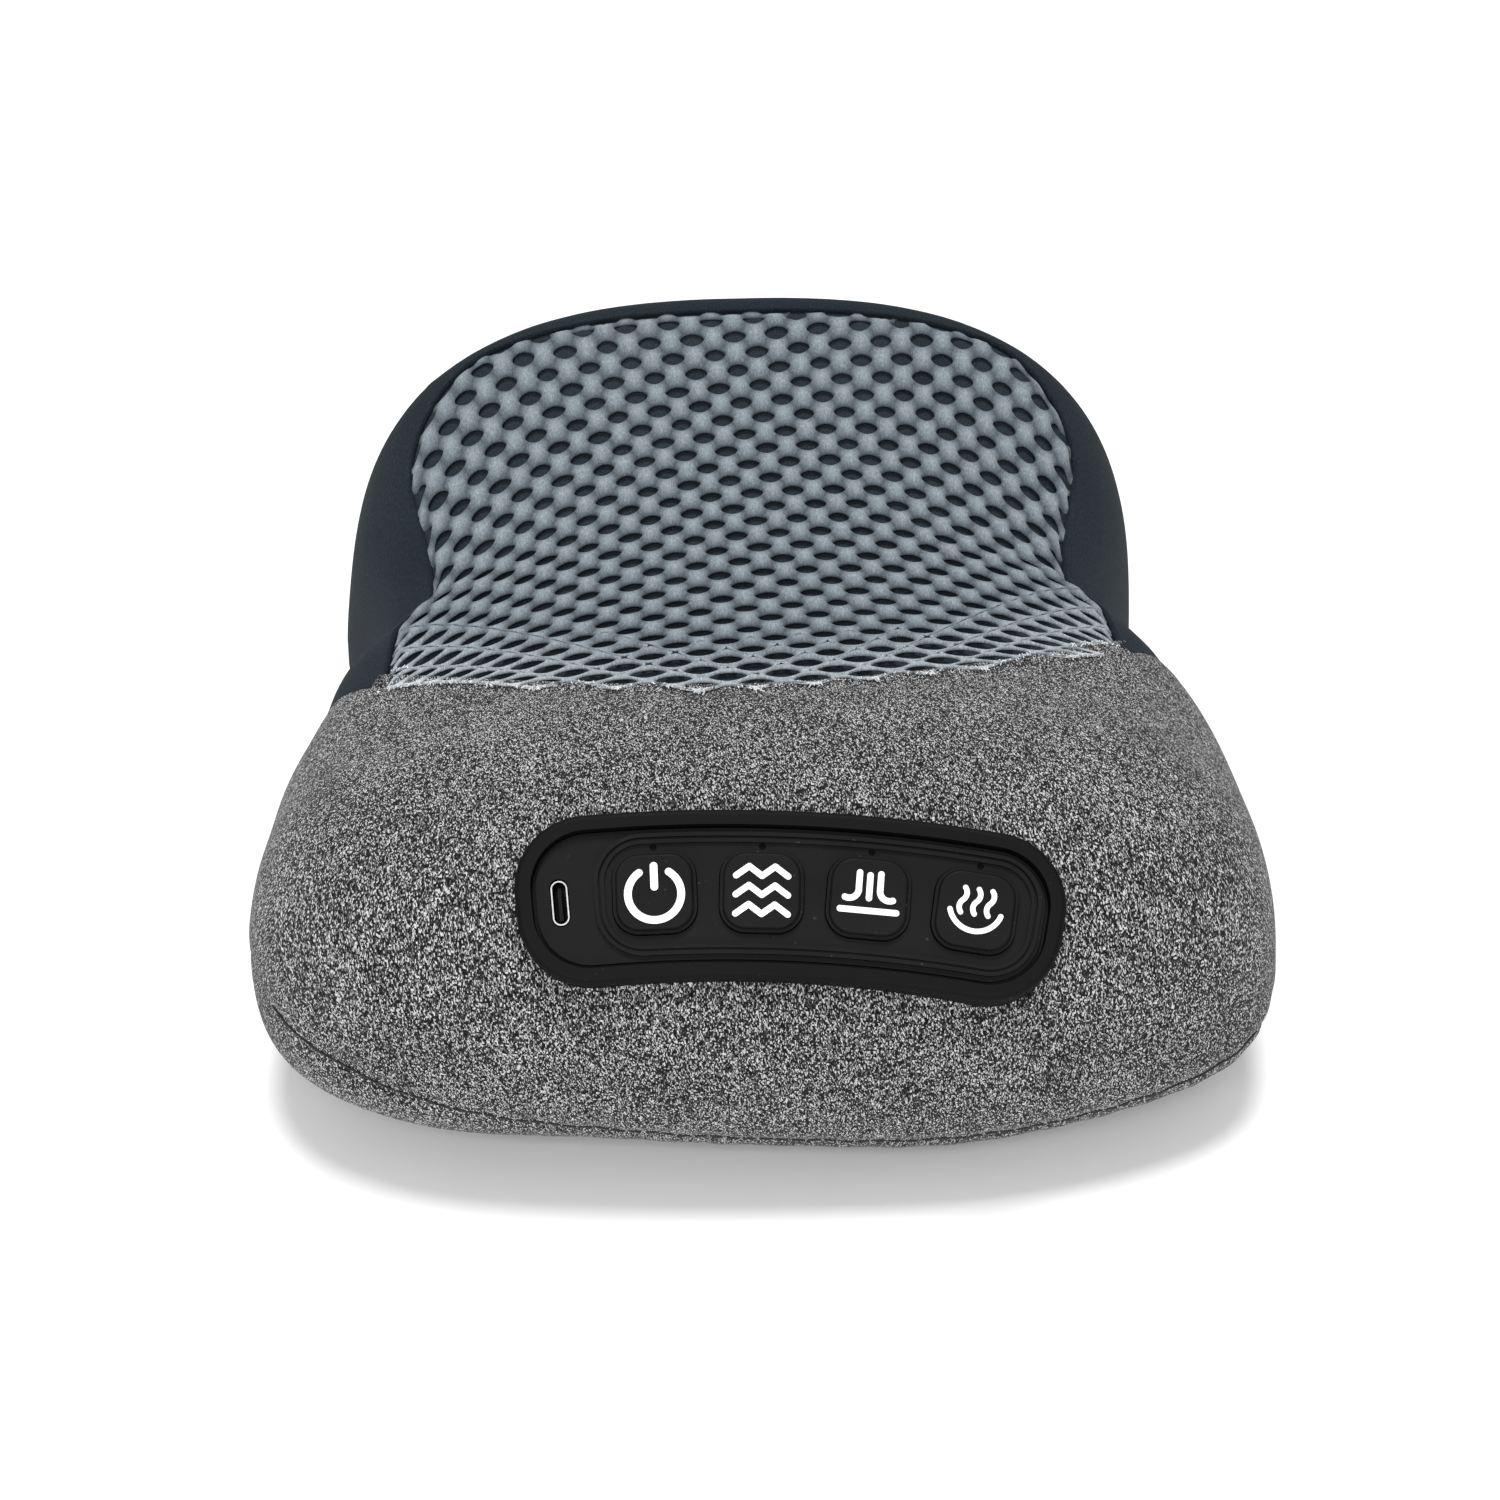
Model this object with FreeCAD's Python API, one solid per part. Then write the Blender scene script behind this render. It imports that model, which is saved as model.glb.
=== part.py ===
import FreeCAD, Part
import math
import os

# Shiatsu neck massager: a saddle-shaped pillow with a knit front lobe, a dark rear lobe, a net over the
# sloping top, a rubber control panel, and a kneading mechanism inside. Millimetres. +Z is up, the
# control panel faces -Y, +X is to the right seen from the panel side, and z = 0 is the table.

os.makedirs("parts", exist_ok=True)
Vector = FreeCAD.Vector

# ---- Pillow shape ----------------------------------------------------------------------------------
FRONT_Y = -111.5           # foremost point of the front lobe
BACK_Y = 111.5             # rearmost point of the rear lobe
LOBE_Y = -37.5             # the front lobe is widest here
WAIST_Y = 21.0             # the waist is narrowest here
SHOULDER_Y = 75.0          # the rear lobe is widest here
LOBE_HALF_WIDTH = 113.5
WAIST_HALF_WIDTH = 95.5
SHOULDER_HALF_WIDTH = 105.7
CREST_Y = -42.5            # top of the front lobe
CREST_Z = 85.7
SUMMIT_Y = 78.5            # where the ramp turns over into the back
SUMMIT_Z = 132.7
RAMP_POWER = 1.93          # how the ramp steepens from crest to summit
EQUATOR_FRONT_Z = 32.0     # height of the widest line, front and rear
EQUATOR_REAR_Z = 48.0
FRONT_PLAN_POWER = 2.94    # superellipse powers of the outlines
BACK_PLAN_POWER = 2.74
FRONT_NOSE_POWER = 2.02
BACK_NOSE_POWER = 2.39
WAIST_POWER = 3.58
TOP_POWERS_FRONT = (2.67, 2.52)
TOP_POWERS_REAR = (2.62, 3.12)
BELLY_POWER = 3.03
KEEL_DROP = 0.8            # the underside starts this much low and is then cut flat
SECTIONS = 23
SECTION_POINTS = 32
END_PHASE = 0.96           # the end sections stop just short of the tips

# ---- Layers: distance in from the pillow's surface, and height of the underside ---------------------
SKIN_IN = (2.0, 1.8)       # inner face of the covers
FOAM_OUT = (2.5, 2.1)
FOAM_IN = (12.0, 5.2)
HOUSING_OUT = (12.5, 5.5)
HOUSING_IN = (15.0, 8.0)
SEAM_Z = 4.0               # covers are sewn to the bottom panel here
HOUSING_SPLIT_Z = 24.0
NET_THICKNESS = 1.2
LINING = (1.5, 2.3)
FILM = (2.8, 3.4)
SEW_LINE_CENTRE_Y = 92.0   # the front and rear covers meet on a cylinder about this line
SEW_LINE_RADIUS = 134.0
NET_HALF_WIDTH = 86.0
NET_BACK_Y = 90.0
NET_CORNER = 24.0
FOAM_FRONT_Y = -45.0       # cuts between the foam pieces
FOAM_REAR_Y = 56.0
FOAM_GAP = 0.5

# ---- Control panel ----------------------------------------------------------------------------------
PANEL_CENTRE = Vector(3.2, -95.3, 65.2)
PANEL_ELEVATION = 43.0     # the way the panel looks, above the horizontal
PANEL_TURN = -4.3          # turned clockwise in its own plane
ARCH_RADIUS = 300.0        # the panel is bent along this arc
PANEL_HALF_LENGTH = 53.8
PANEL_HALF_HEIGHT = 17.0
PANEL_CORNER = 14.5
RIM_WIDTH = 3.2
GROOVE_WIDTH = 0.9
BEZEL_TOP = 3.0
SHEET_TOP = 1.2
SHEET_BOTTOM = -1.0
BUTTON_PITCH = 20.95
BUTTON_MIDDLE = 4.8
BUTTON_RISE = 0.5
BUTTON_SIZE = 16.4
BUTTON_CORNER = 5.2
BUTTON_TOP = 3.0
BUTTON_TRAVEL = 0.8
BUTTON_GAP = 0.2
BUTTONS = ("power", "wave", "knead", "heat")
STATUS_RISE = 9.7
STATUS_RADIUS = 0.62
INLET_PLACE = -45.2
RING_START = -38.4
RING_END = 49.0
RING_HALF_HEIGHT = 12.2
RING_CORNER = 9.5
RING_WIDTH = 0.8
PANEL_BOARD = (-8.5, -6.9)
TUB_FLOOR = (-12.4, -10.9)
PANEL_SCREWS = ((-36, -8), (-36, 6), (40, -8), (40, 6))

# ---- Kneading mechanism, in its own tilted frame: u right, v up the ramp, w out of the ramp ----------
MECH_ORIGIN = Vector(0, 11.0, 98.6)
MECH_TILT = 20.0
WHEEL_OFFSET = 36.0
GEAR_MODULE = 1.25
WHEEL_TEETH = 46
WHEEL_LEVELS = (-55.0, -49.0)
WORM_LEVEL = -52.0
WORM_PITCH_RADIUS = 7.25
WORM_LENGTH = 20.0
TOOTH_THICKNESS = 1.5
PRESSURE_ANGLE = 20.0
SHAFT_RADIUS = 5.0
JOURNAL_RADIUS = 7.0
RUNNING_CLEARANCE = 0.05
GEARBOX_RADIUS = 33.5
GEARBOX_WALL = 2.0
GEARBOX_LEVELS = (-60.0, -47.5, -45.5)
ROTOR_LEVELS = (-44.0, -40.0)
ROTOR_ANGLE = 35.0
ORBIT_RADIUS = 19.0
NODE_RADII = (13.0, 11.0)
NODE_LEVEL = -26.0
POST_RADIUS = 4.0
POST_TOP = -20.0
CHAMBER_RADIUS = 34.5
MOTOR_RADIUS = 12.2
MOTOR_SPAN = (-57.0, -26.0)
MOTOR_SHAFT_RADIUS = 2.5
LUGS = ((-63.5, -25.5), (63.5, -25.5), (-63.5, 25.5), (63.5, 25.5))
COVER_SCREWS = ((-14, 27.5), (14, 27.5), (-68, 10), (68, 10), (-68, -10), (68, -10))
WORM_WINDOW = (9.2, 12.5)     # half width and half length of the openings above and below the worm
LUG_RADIUS = 5.0

# ---- Battery, boards, vibration motor ----------------------------------------------------------------
CELL_RADIUS = 9.2
CELL_LENGTH = 65.0
CELL_PLACES = (-56.0, -76.0)
CELL_Z = 25.0
BOARD_SIZE = (80.0, 50.0, 1.6)
BOARD_CORNER = Vector(-40, 12, 11)
BUZZER_RADIUS = 6.0
BUZZER_SPAN = (-80.0, -60.0)
BUZZER_Y = -30.0
BUZZER_Z = 19.0
HOUSING_SCREWS = ((-82, -60), (82, -60), (-74, 0), (74, 0), (-64, 80), (64, 80))
HEATER_LEAD_SPOT = (0.0, -32.5)
SCREW_SEAT_Z = 17.0
SCREW_RADIUS = 1.5
SCREW_HEAD = (3.0, 2.0)


# ======================================================================================================
# Small helpers
# ======================================================================================================
def export(name, *solids):
    """Write one sub-part, joining several separate solids into one group."""
    shape = solids[0] if len(solids) == 1 else Part.makeCompound(list(solids))
    shape.exportStep("parts/" + name + ".step")


def frame(origin, across, up):
    """Placement whose x and y run along two perpendicular unit vectors."""
    out = across.cross(up)
    rows = []
    for a, b, c, d in zip(across, up, out, origin):
        rows += [a, b, c, d]
    return FreeCAD.Placement(FreeCAD.Matrix(*rows, 0, 0, 0, 1))


def placed(shape, placement):
    moved = shape.copy()
    moved.Placement = placement.multiply(moved.Placement)
    return moved


def turned(x, y, degrees):
    """Placement in a local plane: a spot and a turn about its normal."""
    return FreeCAD.Placement(Vector(x, y, 0), FreeCAD.Rotation(Vector(0, 0, 1), degrees))


def prism(wire, low, high):
    face = Part.Face(wire)
    face.translate(Vector(0, 0, low))
    return face.extrude(Vector(0, 0, high - low))


def disc(radius, low, high, x=0.0, y=0.0):
    return Part.makeCylinder(radius, high - low, Vector(x, y, low))


def block(x0, x1, y0, y1, z0, z1):
    return Part.makeBox(x1 - x0, y1 - y0, z1 - z0, Vector(x0, y0, z0))


def arc(start, middle, end):
    return Part.Arc(start, middle, end).toShape()


def line(start, end):
    return Part.LineSegment(start, end).toShape()


def rounded_rectangle(half_width, half_height, corner):
    """Closed wire about the origin, corners as arcs."""
    k = corner * (1 - math.sqrt(0.5))
    edges = []
    for sx, sy in ((1, 1), (-1, 1), (-1, -1), (1, -1)):
        side = Vector(sx * half_width, sy * (half_height - corner), 0)
        middle = Vector(sx * (half_width - k), sy * (half_height - k), 0)
        top = Vector(sx * (half_width - corner), sy * half_height, 0)
        if sx == sy:
            edges.append(arc(side, middle, top))
        else:
            edges.append(arc(top, middle, side))
    joined = []
    for edge, following in zip(edges, edges[1:] + edges[:1]):
        joined.append(edge)
        gap = (edge.lastVertex(True).Point, following.firstVertex(True).Point)
        if gap[0].distanceToPoint(gap[1]) > 1e-6:
            joined.append(line(*gap))
    return Part.Wire(joined)


def stroke(wire, width, low, high):
    """A drawn line of even width with round ends, as a thin solid."""
    if len(wire.Edges) > 1 or wire.Edges[0].Curve.TypeId != "Part::GeomLine":
        return prism(wire.makeOffset2D(width / 2).Wires[0], low, high)
    start, end = (vertex.Point for vertex in wire.Vertexes)
    along = end - start
    middle = (start + end) / 2
    outline = rounded_rectangle((along.Length + width) / 2, width / 2, width / 2)
    lean = math.degrees(math.atan2(along.y, along.x))
    return placed(prism(outline, low, high), turned(middle.x, middle.y, lean))


def tube(points, radius, bend):
    """A round lead along straight runs joined by tangent arcs."""
    edges = []
    start = points[0]
    for before, corner, after in zip(points, points[1:], points[2:]):
        back = (before - corner).normalize()
        ahead = (after - corner).normalize()
        half = back.getAngle(ahead) / 2
        reach = bend / math.tan(half)
        leave = corner + back * reach
        arrive = corner + ahead * reach
        inward = (back + ahead).normalize()
        middle = corner + inward * (bend / math.sin(half) - bend)
        edges.append(line(start, leave))
        edges.append(arc(leave, middle, arrive))
        start = arrive
    edges.append(line(start, points[-1]))
    path = Part.Wire(edges)
    ring = Part.Wire(Part.Circle(points[0], points[1] - points[0], radius).toShape())
    return path.makePipeShell([ring], True, True)


# ======================================================================================================
# Pillow envelope
# ======================================================================================================
def smooth(a, b, s):
    s = min(max(s, 0.0), 1.0)
    return a + (b - a) * s * s * (3 - 2 * s)


def quarter(s, power):
    """Superellipse quarter: 1 at s = 0, 0 at s = 1."""
    s = min(max(s, 0.0), 1.0)
    return (1 - s ** power) ** (1 / power)


def equator(y):
    return smooth(EQUATOR_FRONT_Z, EQUATOR_REAR_Z, (y - LOBE_Y) / (SHOULDER_Y - LOBE_Y))


def crown(y):
    """Height of the pillow on its centre line."""
    base = equator(y)
    if y < CREST_Y:
        return base + (CREST_Z - base) * quarter((CREST_Y - y) / (CREST_Y - FRONT_Y), FRONT_NOSE_POWER)
    rise = SUMMIT_Z - CREST_Z
    run = SUMMIT_Y - CREST_Y
    if y < SUMMIT_Y:
        return CREST_Z + rise * ((y - CREST_Y) / run) ** RAMP_POWER
    ramp = SUMMIT_Z + RAMP_POWER * rise / run * (y - SUMMIT_Y)
    return base + (ramp - base) * quarter((y - SUMMIT_Y) / (BACK_Y - SUMMIT_Y), BACK_NOSE_POWER)


def half_width(y):
    if y < LOBE_Y:
        return LOBE_HALF_WIDTH * quarter((LOBE_Y - y) / (LOBE_Y - FRONT_Y), FRONT_PLAN_POWER)
    if y < WAIST_Y:
        pinch = ((y - LOBE_Y) / (WAIST_Y - LOBE_Y)) ** WAIST_POWER
        return LOBE_HALF_WIDTH - (LOBE_HALF_WIDTH - WAIST_HALF_WIDTH) * pinch
    if y < SHOULDER_Y:
        return smooth(WAIST_HALF_WIDTH, SHOULDER_HALF_WIDTH, (y - WAIST_Y) / (SHOULDER_Y - WAIST_Y))
    return SHOULDER_HALF_WIDTH * quarter((y - SHOULDER_Y) / (BACK_Y - SHOULDER_Y), BACK_PLAN_POWER)


def keel(y):
    """Height of the underside on the centre line: it curls up at both ends."""
    front = (LOBE_Y - y) / (LOBE_Y - FRONT_Y)
    back = (y - SHOULDER_Y) / (BACK_Y - SHOULDER_Y)
    s = min(max(front, back, 0.0), 1.0)
    return equator(y) * (1 - (1 - s ** 4) ** (1 / 2.2))


def shrunk(curve, y, inset, drop):
    """A curve's value after an inset by a disc of radius inset (drop is its height, signed)."""
    if inset == 0:
        return curve(y)
    steps = 24
    values = []
    for i in range(-steps, steps + 1):
        share = i / steps
        spot = min(max(y + share * inset, FRONT_Y), BACK_Y)
        values.append(curve(spot) - drop * math.sqrt(1 - share * share))
    return min(values) if drop > 0 else max(values)


def section(y, inset, lift):
    """Closed cross-section at one y: a broad superellipse above the equator, another below it."""
    width = shrunk(half_width, y, inset, inset)
    top = shrunk(crown, y, inset, inset)
    bottom = shrunk(keel, y, inset, -lift - 1e-9) - KEEL_DROP
    middle = equator(y)
    blend = smooth(0, 1, (y - LOBE_Y) / (SHOULDER_Y - LOBE_Y))
    across = TOP_POWERS_FRONT[0] + (TOP_POWERS_REAR[0] - TOP_POWERS_FRONT[0]) * blend
    upward = TOP_POWERS_FRONT[1] + (TOP_POWERS_REAR[1] - TOP_POWERS_FRONT[1]) * blend
    points = []
    for i in range(SECTION_POINTS):
        angle = 2 * math.pi * i / SECTION_POINTS
        c = math.cos(angle)
        s = math.sin(angle)
        if s >= 0:
            x = width * math.copysign(abs(c) ** (2 / across), c)
            z = middle + (top - middle) * s ** (2 / upward)
        else:
            x = width * math.copysign(abs(c) ** (2 / BELLY_POWER), c)
            z = middle - (middle - bottom) * abs(s) ** (2 / BELLY_POWER)
        points.append(Vector(x, y, z))
    curve = Part.BSplineCurve()
    curve.interpolate(Points=points, PeriodicFlag=True)
    return Part.Wire(curve.toShape())


def pillow(inset, lift):
    """The pillow's solid shape, shrunk by inset at the sides and top, and cut flat at z = lift."""
    front = FRONT_Y + inset
    back = BACK_Y - inset
    wires = []
    for i in range(SECTIONS):
        phase = END_PHASE * (2 * i / (SECTIONS - 1) - 1)
        y = (front + back) / 2 + (back - front) / 2 * math.sin(math.pi * phase / 2)
        wires.append(section(y, inset, lift))
    body = Part.makeLoft(wires, True, True)
    body = body.cut(block(-150, 150, -150, 150, lift - 50, lift))
    above_panel = placed(block(-90, 90, -45, 45, -inset, 60), PANEL_FRAME)
    return body.cut(above_panel)


def sew_cylinder(inset, low, high):
    return disc(SEW_LINE_RADIUS - inset, low, high, 0, SEW_LINE_CENTRE_Y)


def net_prism(inset):
    """Vertical prism over the net: the sewn arc in front, round corners behind."""
    outline = rounded_rectangle(NET_HALF_WIDTH - inset, NET_BACK_Y - inset, NET_CORNER - inset)
    return prism(outline, 50, 160).common(sew_cylinder(inset, 50, 160))


# ======================================================================================================
# Frames of the two tilted assemblies
# ======================================================================================================
def panel_frame_placement():
    lean = math.radians(PANEL_ELEVATION)
    turn = math.radians(PANEL_TURN)
    right = Vector(1, 0, 0)
    up = Vector(0, math.sin(lean), math.cos(lean))
    across = right * math.cos(turn) + up * math.sin(turn)
    along = up * math.cos(turn) - right * math.sin(turn)
    return frame(PANEL_CENTRE, across, along)


PANEL_FRAME = panel_frame_placement()
TILT = math.radians(MECH_TILT)
MECH_FRAME = frame(MECH_ORIGIN, Vector(1, 0, 0), Vector(0, math.cos(TILT), math.sin(TILT)))
print("panel frame", PANEL_FRAME)
print("mechanism frame", MECH_FRAME)


# ======================================================================================================
# Control panel pieces, in the panel frame (z out of the panel, 0 on the cover's flat seat)
# ======================================================================================================
def bend(s, v):
    """A point at distance s along the arch and v above it."""
    angle = s / ARCH_RADIUS
    radius = ARCH_RADIUS + v
    return Vector(radius * math.sin(angle), radius * math.cos(angle) - ARCH_RADIUS, 0)


def bent_outline(start, end, half_height, corner, rise=0.0):
    """Rounded rectangle bent along the panel's arch."""
    k = corner * (1 - math.sqrt(0.5))
    low = rise - half_height
    high = rise + half_height
    middle = (start + end) / 2
    corners = (
        ((end - corner, low), (end - k, low + k), (end, low + corner)),
        ((end, high - corner), (end - k, high - k), (end - corner, high)),
        ((start + corner, high), (start + k, high - k), (start, high - corner)),
        ((start, low + corner), (start + k, low + k), (start + corner, low)),
    )
    edges = [arc(bend(start + corner, low), bend(middle, low), bend(end - corner, low))]
    for i, points in enumerate(corners):
        edges.append(arc(*(bend(*p) for p in points)))
        if i == 0:
            edges.append(line(bend(end, low + corner), bend(end, high - corner)))
        if i == 1:
            edges.append(arc(bend(end - corner, high), bend(middle, high), bend(start + corner, high)))
        if i == 2:
            edges.append(line(bend(start, high - corner), bend(start, low + corner)))
    return Part.Wire(edges)


def panel_prism(inset, low, high):
    outline = bent_outline(inset - PANEL_HALF_LENGTH, PANEL_HALF_LENGTH - inset,
                           PANEL_HALF_HEIGHT - inset, PANEL_CORNER - inset)
    return prism(outline, low, high)


def panel_spot(s, v):
    """Placement of a piece standing on the panel at (s, v), turned with the arch."""
    point = bend(s, v)
    return turned(point.x, point.y, -math.degrees(s / ARCH_RADIUS))


def button_spots():
    for i, name in enumerate(BUTTONS):
        yield name, panel_spot(BUTTON_MIDDLE + (i - 1.5) * BUTTON_PITCH, BUTTON_RISE)


def top_edges(solid, level):
    near = 1e-4
    return [
        e for e in solid.Edges if abs(e.BoundBox.ZMin - level) < near and abs(e.BoundBox.ZMax - level) < near
    ]


def make_bezel(skin):
    rim = panel_prism(0, -5, BEZEL_TOP)
    rim = rim.makeFillet(1.3, top_edges(rim, BEZEL_TOP))
    rim = placed(rim, PANEL_FRAME).cut(skin)
    skirt = panel_prism(2.0, -5, BEZEL_TOP - 1.3)
    rim = rim.fuse(placed(skirt, PANEL_FRAME))
    return rim.cut(placed(panel_prism(RIM_WIDTH, -6, 6), PANEL_FRAME)).removeSplitter()


def make_panel_frame(lining_space):
    wall = placed(panel_prism(0.3, TUB_FLOOR[0], 3), PANEL_FRAME).common(lining_space)
    ledge = placed(panel_prism(RIM_WIDTH + 0.1, TUB_FLOOR[0], SHEET_BOTTOM), PANEL_FRAME)
    tub = wall.fuse(ledge)
    channel = panel_prism(1.9, -5.2, 5).cut(panel_prism(RIM_WIDTH + 0.1, -6, 6))
    tub = tub.cut(placed(channel, PANEL_FRAME))
    tub = tub.cut(placed(panel_prism(RIM_WIDTH + 1.4, TUB_FLOOR[1], 5), PANEL_FRAME))
    holes = [disc(3.0, -20, 0, 20, 0)]
    holes += [disc(1.3, TUB_FLOOR[0] - 1, TUB_FLOOR[1] + 1, x, y) for x, y in PANEL_SCREWS]
    tub = tub.cut([placed(hole, PANEL_FRAME) for hole in holes])
    pillars = [disc(2.4, TUB_FLOOR[1], PANEL_BOARD[0], x, 0) for x in (-30, 0, 34)]
    return tub.fuse([placed(p, PANEL_FRAME) for p in pillars]).removeSplitter()


def make_keypad_sheet():
    sheet = panel_prism(RIM_WIDTH + GROOVE_WIDTH, SHEET_BOTTOM, SHEET_TOP)
    sheet = sheet.fuse(panel_prism(RIM_WIDTH + 0.1, SHEET_BOTTOM, 0.0))
    for step in (0, 1):
        inset = step * (RING_WIDTH + 0.45)
        height = SHEET_TOP + 0.8 - 0.2 * step
        ridge = None
        for side in (0, RING_WIDTH):
            outline = bent_outline(RING_START + inset + side, RING_END - inset - side,
                                   RING_HALF_HEIGHT - inset - side, RING_CORNER - inset - side, 0.3)
            layer = prism(outline, SHEET_TOP - 0.3, height)
            ridge = layer if ridge is None else ridge.cut(layer)
        sheet = sheet.fuse(ridge)
    opening_size = BUTTON_SIZE / 2 + BUTTON_GAP
    opening = prism(rounded_rectangle(opening_size, opening_size, BUTTON_CORNER + BUTTON_GAP), -3, 5)
    inlet = prism(rounded_rectangle(1.85, 4.8, 1.8), -3, 5)
    cuts = [placed(opening, spot) for _, spot in button_spots()]
    cuts += [disc(STATUS_RADIUS + 0.05, -3, 5, *spot) for spot in status_spots()]
    cuts.append(placed(inlet, panel_spot(INLET_PLACE, 0)))
    return placed(sheet.cut(cuts).removeSplitter(), PANEL_FRAME)


def status_spots():
    for i in range(len(BUTTONS)):
        point = bend(BUTTON_MIDDLE + (i - 1.5) * BUTTON_PITCH, STATUS_RISE)
        yield point.x, point.y


def arc_about(x, y, radius, start, end):
    """Arc edge about (x, y), from one angle to another, in degrees."""
    points = []
    for angle in (start, (start + end) / 2, end):
        turn = math.radians(angle)
        points.append(Vector(x + radius * math.cos(turn), y + radius * math.sin(turn), 0))
    return arc(*points)


def power_icon():
    yield Part.Wire([arc_about(0, -0.5, 5.2, 124, 416)])
    yield Part.Wire([line(Vector(0, 5.1, 0), Vector(0, 0.9, 0))])


def wave_icon():
    for middle in (3.8, 0.0, -3.8):
        points = [Vector(2.55 * i, middle + (0.95 if i % 2 else -0.95), 0) for i in range(-2, 3)]
        yield Part.Wire([line(a, b) for a, b in zip(points, points[1:])])


def knead_icon():
    for side in (-1, 1):
        straight = line(Vector(side * 2.1, 4.6, 0), Vector(side * 2.1, 1.5, 0))
        middle = Vector(side * 2.95, -0.35, 0)
        hook = arc(Vector(side * 2.1, 1.5, 0), middle, Vector(side * 4.7, -0.5, 0))
        yield Part.Wire([straight, hook])
    yield Part.Wire([line(Vector(0, 4.2, 0), Vector(0, -0.4, 0))])
    yield Part.Wire([line(Vector(-5.5, -2.9, 0), Vector(5.5, -2.9, 0))])


def heat_icon():
    yield Part.Wire([arc(Vector(-5.0, -0.6, 0), Vector(0, -4.3, 0), Vector(5.0, -0.6, 0))])
    for x in (-2.7, 0.0, 2.7):
        lower = arc(Vector(x - 0.2, -0.9, 0), Vector(x - 0.6, 0.4, 0), Vector(x, 1.6, 0))
        upper = arc(Vector(x, 1.6, 0), Vector(x + 0.6, 2.8, 0), Vector(x + 0.2, 4.1, 0))
        yield Part.Wire([lower, upper])


ICONS = {
    "power": (power_icon, 1.5),
    "wave": (wave_icon, 1.25),
    "knead": (knead_icon, 1.25),
    "heat": (heat_icon, 1.05),
}


def make_button(name, spot):
    """Rubber cap with a step round its foot and a flange under the sheet, and its inlaid sign."""
    cap = prism(rounded_rectangle(BUTTON_SIZE / 2, BUTTON_SIZE / 2, BUTTON_CORNER), SHEET_BOTTOM - 0.2, 2.1)
    crown_size = BUTTON_SIZE / 2 - 0.6
    raised = prism(rounded_rectangle(crown_size, crown_size, BUTTON_CORNER - 0.6), 2.0, BUTTON_TOP)
    raised = raised.makeFillet(0.6, top_edges(raised, BUTTON_TOP))
    flange_size = BUTTON_SIZE / 2 + 1.1
    flange = prism(rounded_rectangle(flange_size, flange_size, 5.0), SHEET_BOTTOM - 1.2, SHEET_BOTTOM - 0.2)
    lamp_room = disc(STATUS_RADIUS + 0.4, SHEET_BOTTOM - 2, SHEET_BOTTOM, 0, STATUS_RISE - BUTTON_RISE)
    flange = flange.cut(lamp_room)
    cap = cap.fuse([raised, flange])
    draw, width = ICONS[name]
    marks = [stroke(wire, width, BUTTON_TOP - 0.5, BUTTON_TOP + 0.06) for wire in draw()]
    cap = cap.cut(marks)
    at = PANEL_FRAME.multiply(spot)
    return placed(cap, at), [placed(mark, at) for mark in marks]


def make_tact_switches():
    for _, spot in button_spots():
        body = block(-3, 3, -3, 3, PANEL_BOARD[1], PANEL_BOARD[1] + 2.7)
        plunger = disc(1.7, PANEL_BOARD[1] + 2.7, SHEET_BOTTOM - 1.2 - BUTTON_TRAVEL - 0.05)
        yield placed(body.fuse(plunger), PANEL_FRAME.multiply(spot))


def make_inlet():
    """USB-C receptacle: a stadium shell with a contact tongue, standing on the panel board."""
    low = PANEL_BOARD[1]
    shell = prism(rounded_rectangle(1.63, 4.47, 1.6), low, SHEET_TOP - 0.2)
    hollow = prism(rounded_rectangle(1.35, 4.19, 1.32), low + 1.0, 3)
    tongue = block(-0.35, 0.35, -3.3, 3.3, low + 0.5, SHEET_TOP - 1.6)
    inlet = shell.cut(hollow).fuse(tongue)
    return placed(inlet, PANEL_FRAME.multiply(panel_spot(INLET_PLACE, 0)))


# ======================================================================================================
# Kneading mechanism, in the mechanism frame
# ======================================================================================================
def wheel_pitch_radius():
    return GEAR_MODULE * WHEEL_TEETH / 2


def make_wheel(side):
    """Worm wheel with straight-sided teeth; a gap or a tooth faces the worm so that both sides mesh."""
    pitch_radius = wheel_pitch_radius()
    slope = math.tan(math.radians(PRESSURE_ANGLE))
    levels = (pitch_radius - 1.2 * GEAR_MODULE, pitch_radius + GEAR_MODULE)
    points = []
    for tooth in range(WHEEL_TEETH):
        middle = 2 * math.pi * (tooth + (0.5 if side < 0 else 0.0)) / WHEEL_TEETH
        for radius, sign in ((levels[0], -1), (levels[1], -1), (levels[1], 1), (levels[0], 1)):
            half = TOOTH_THICKNESS / 2 - (radius - pitch_radius) * slope
            angle = middle + sign * half / radius
            points.append(Vector(radius * math.cos(angle), radius * math.sin(angle), 0))
    points.append(points[0])
    wheel = prism(Part.makePolygon(points), *WHEEL_LEVELS)
    hub = disc(9.0, WHEEL_LEVELS[0] - 1.8, WHEEL_LEVELS[1] + 0.5)
    wheel = wheel.fuse(hub).cut(disc(SHAFT_RADIUS, -70, -30))
    return placed(wheel, MECH_FRAME.multiply(turned(side * WHEEL_OFFSET, 0, 0)))


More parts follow.
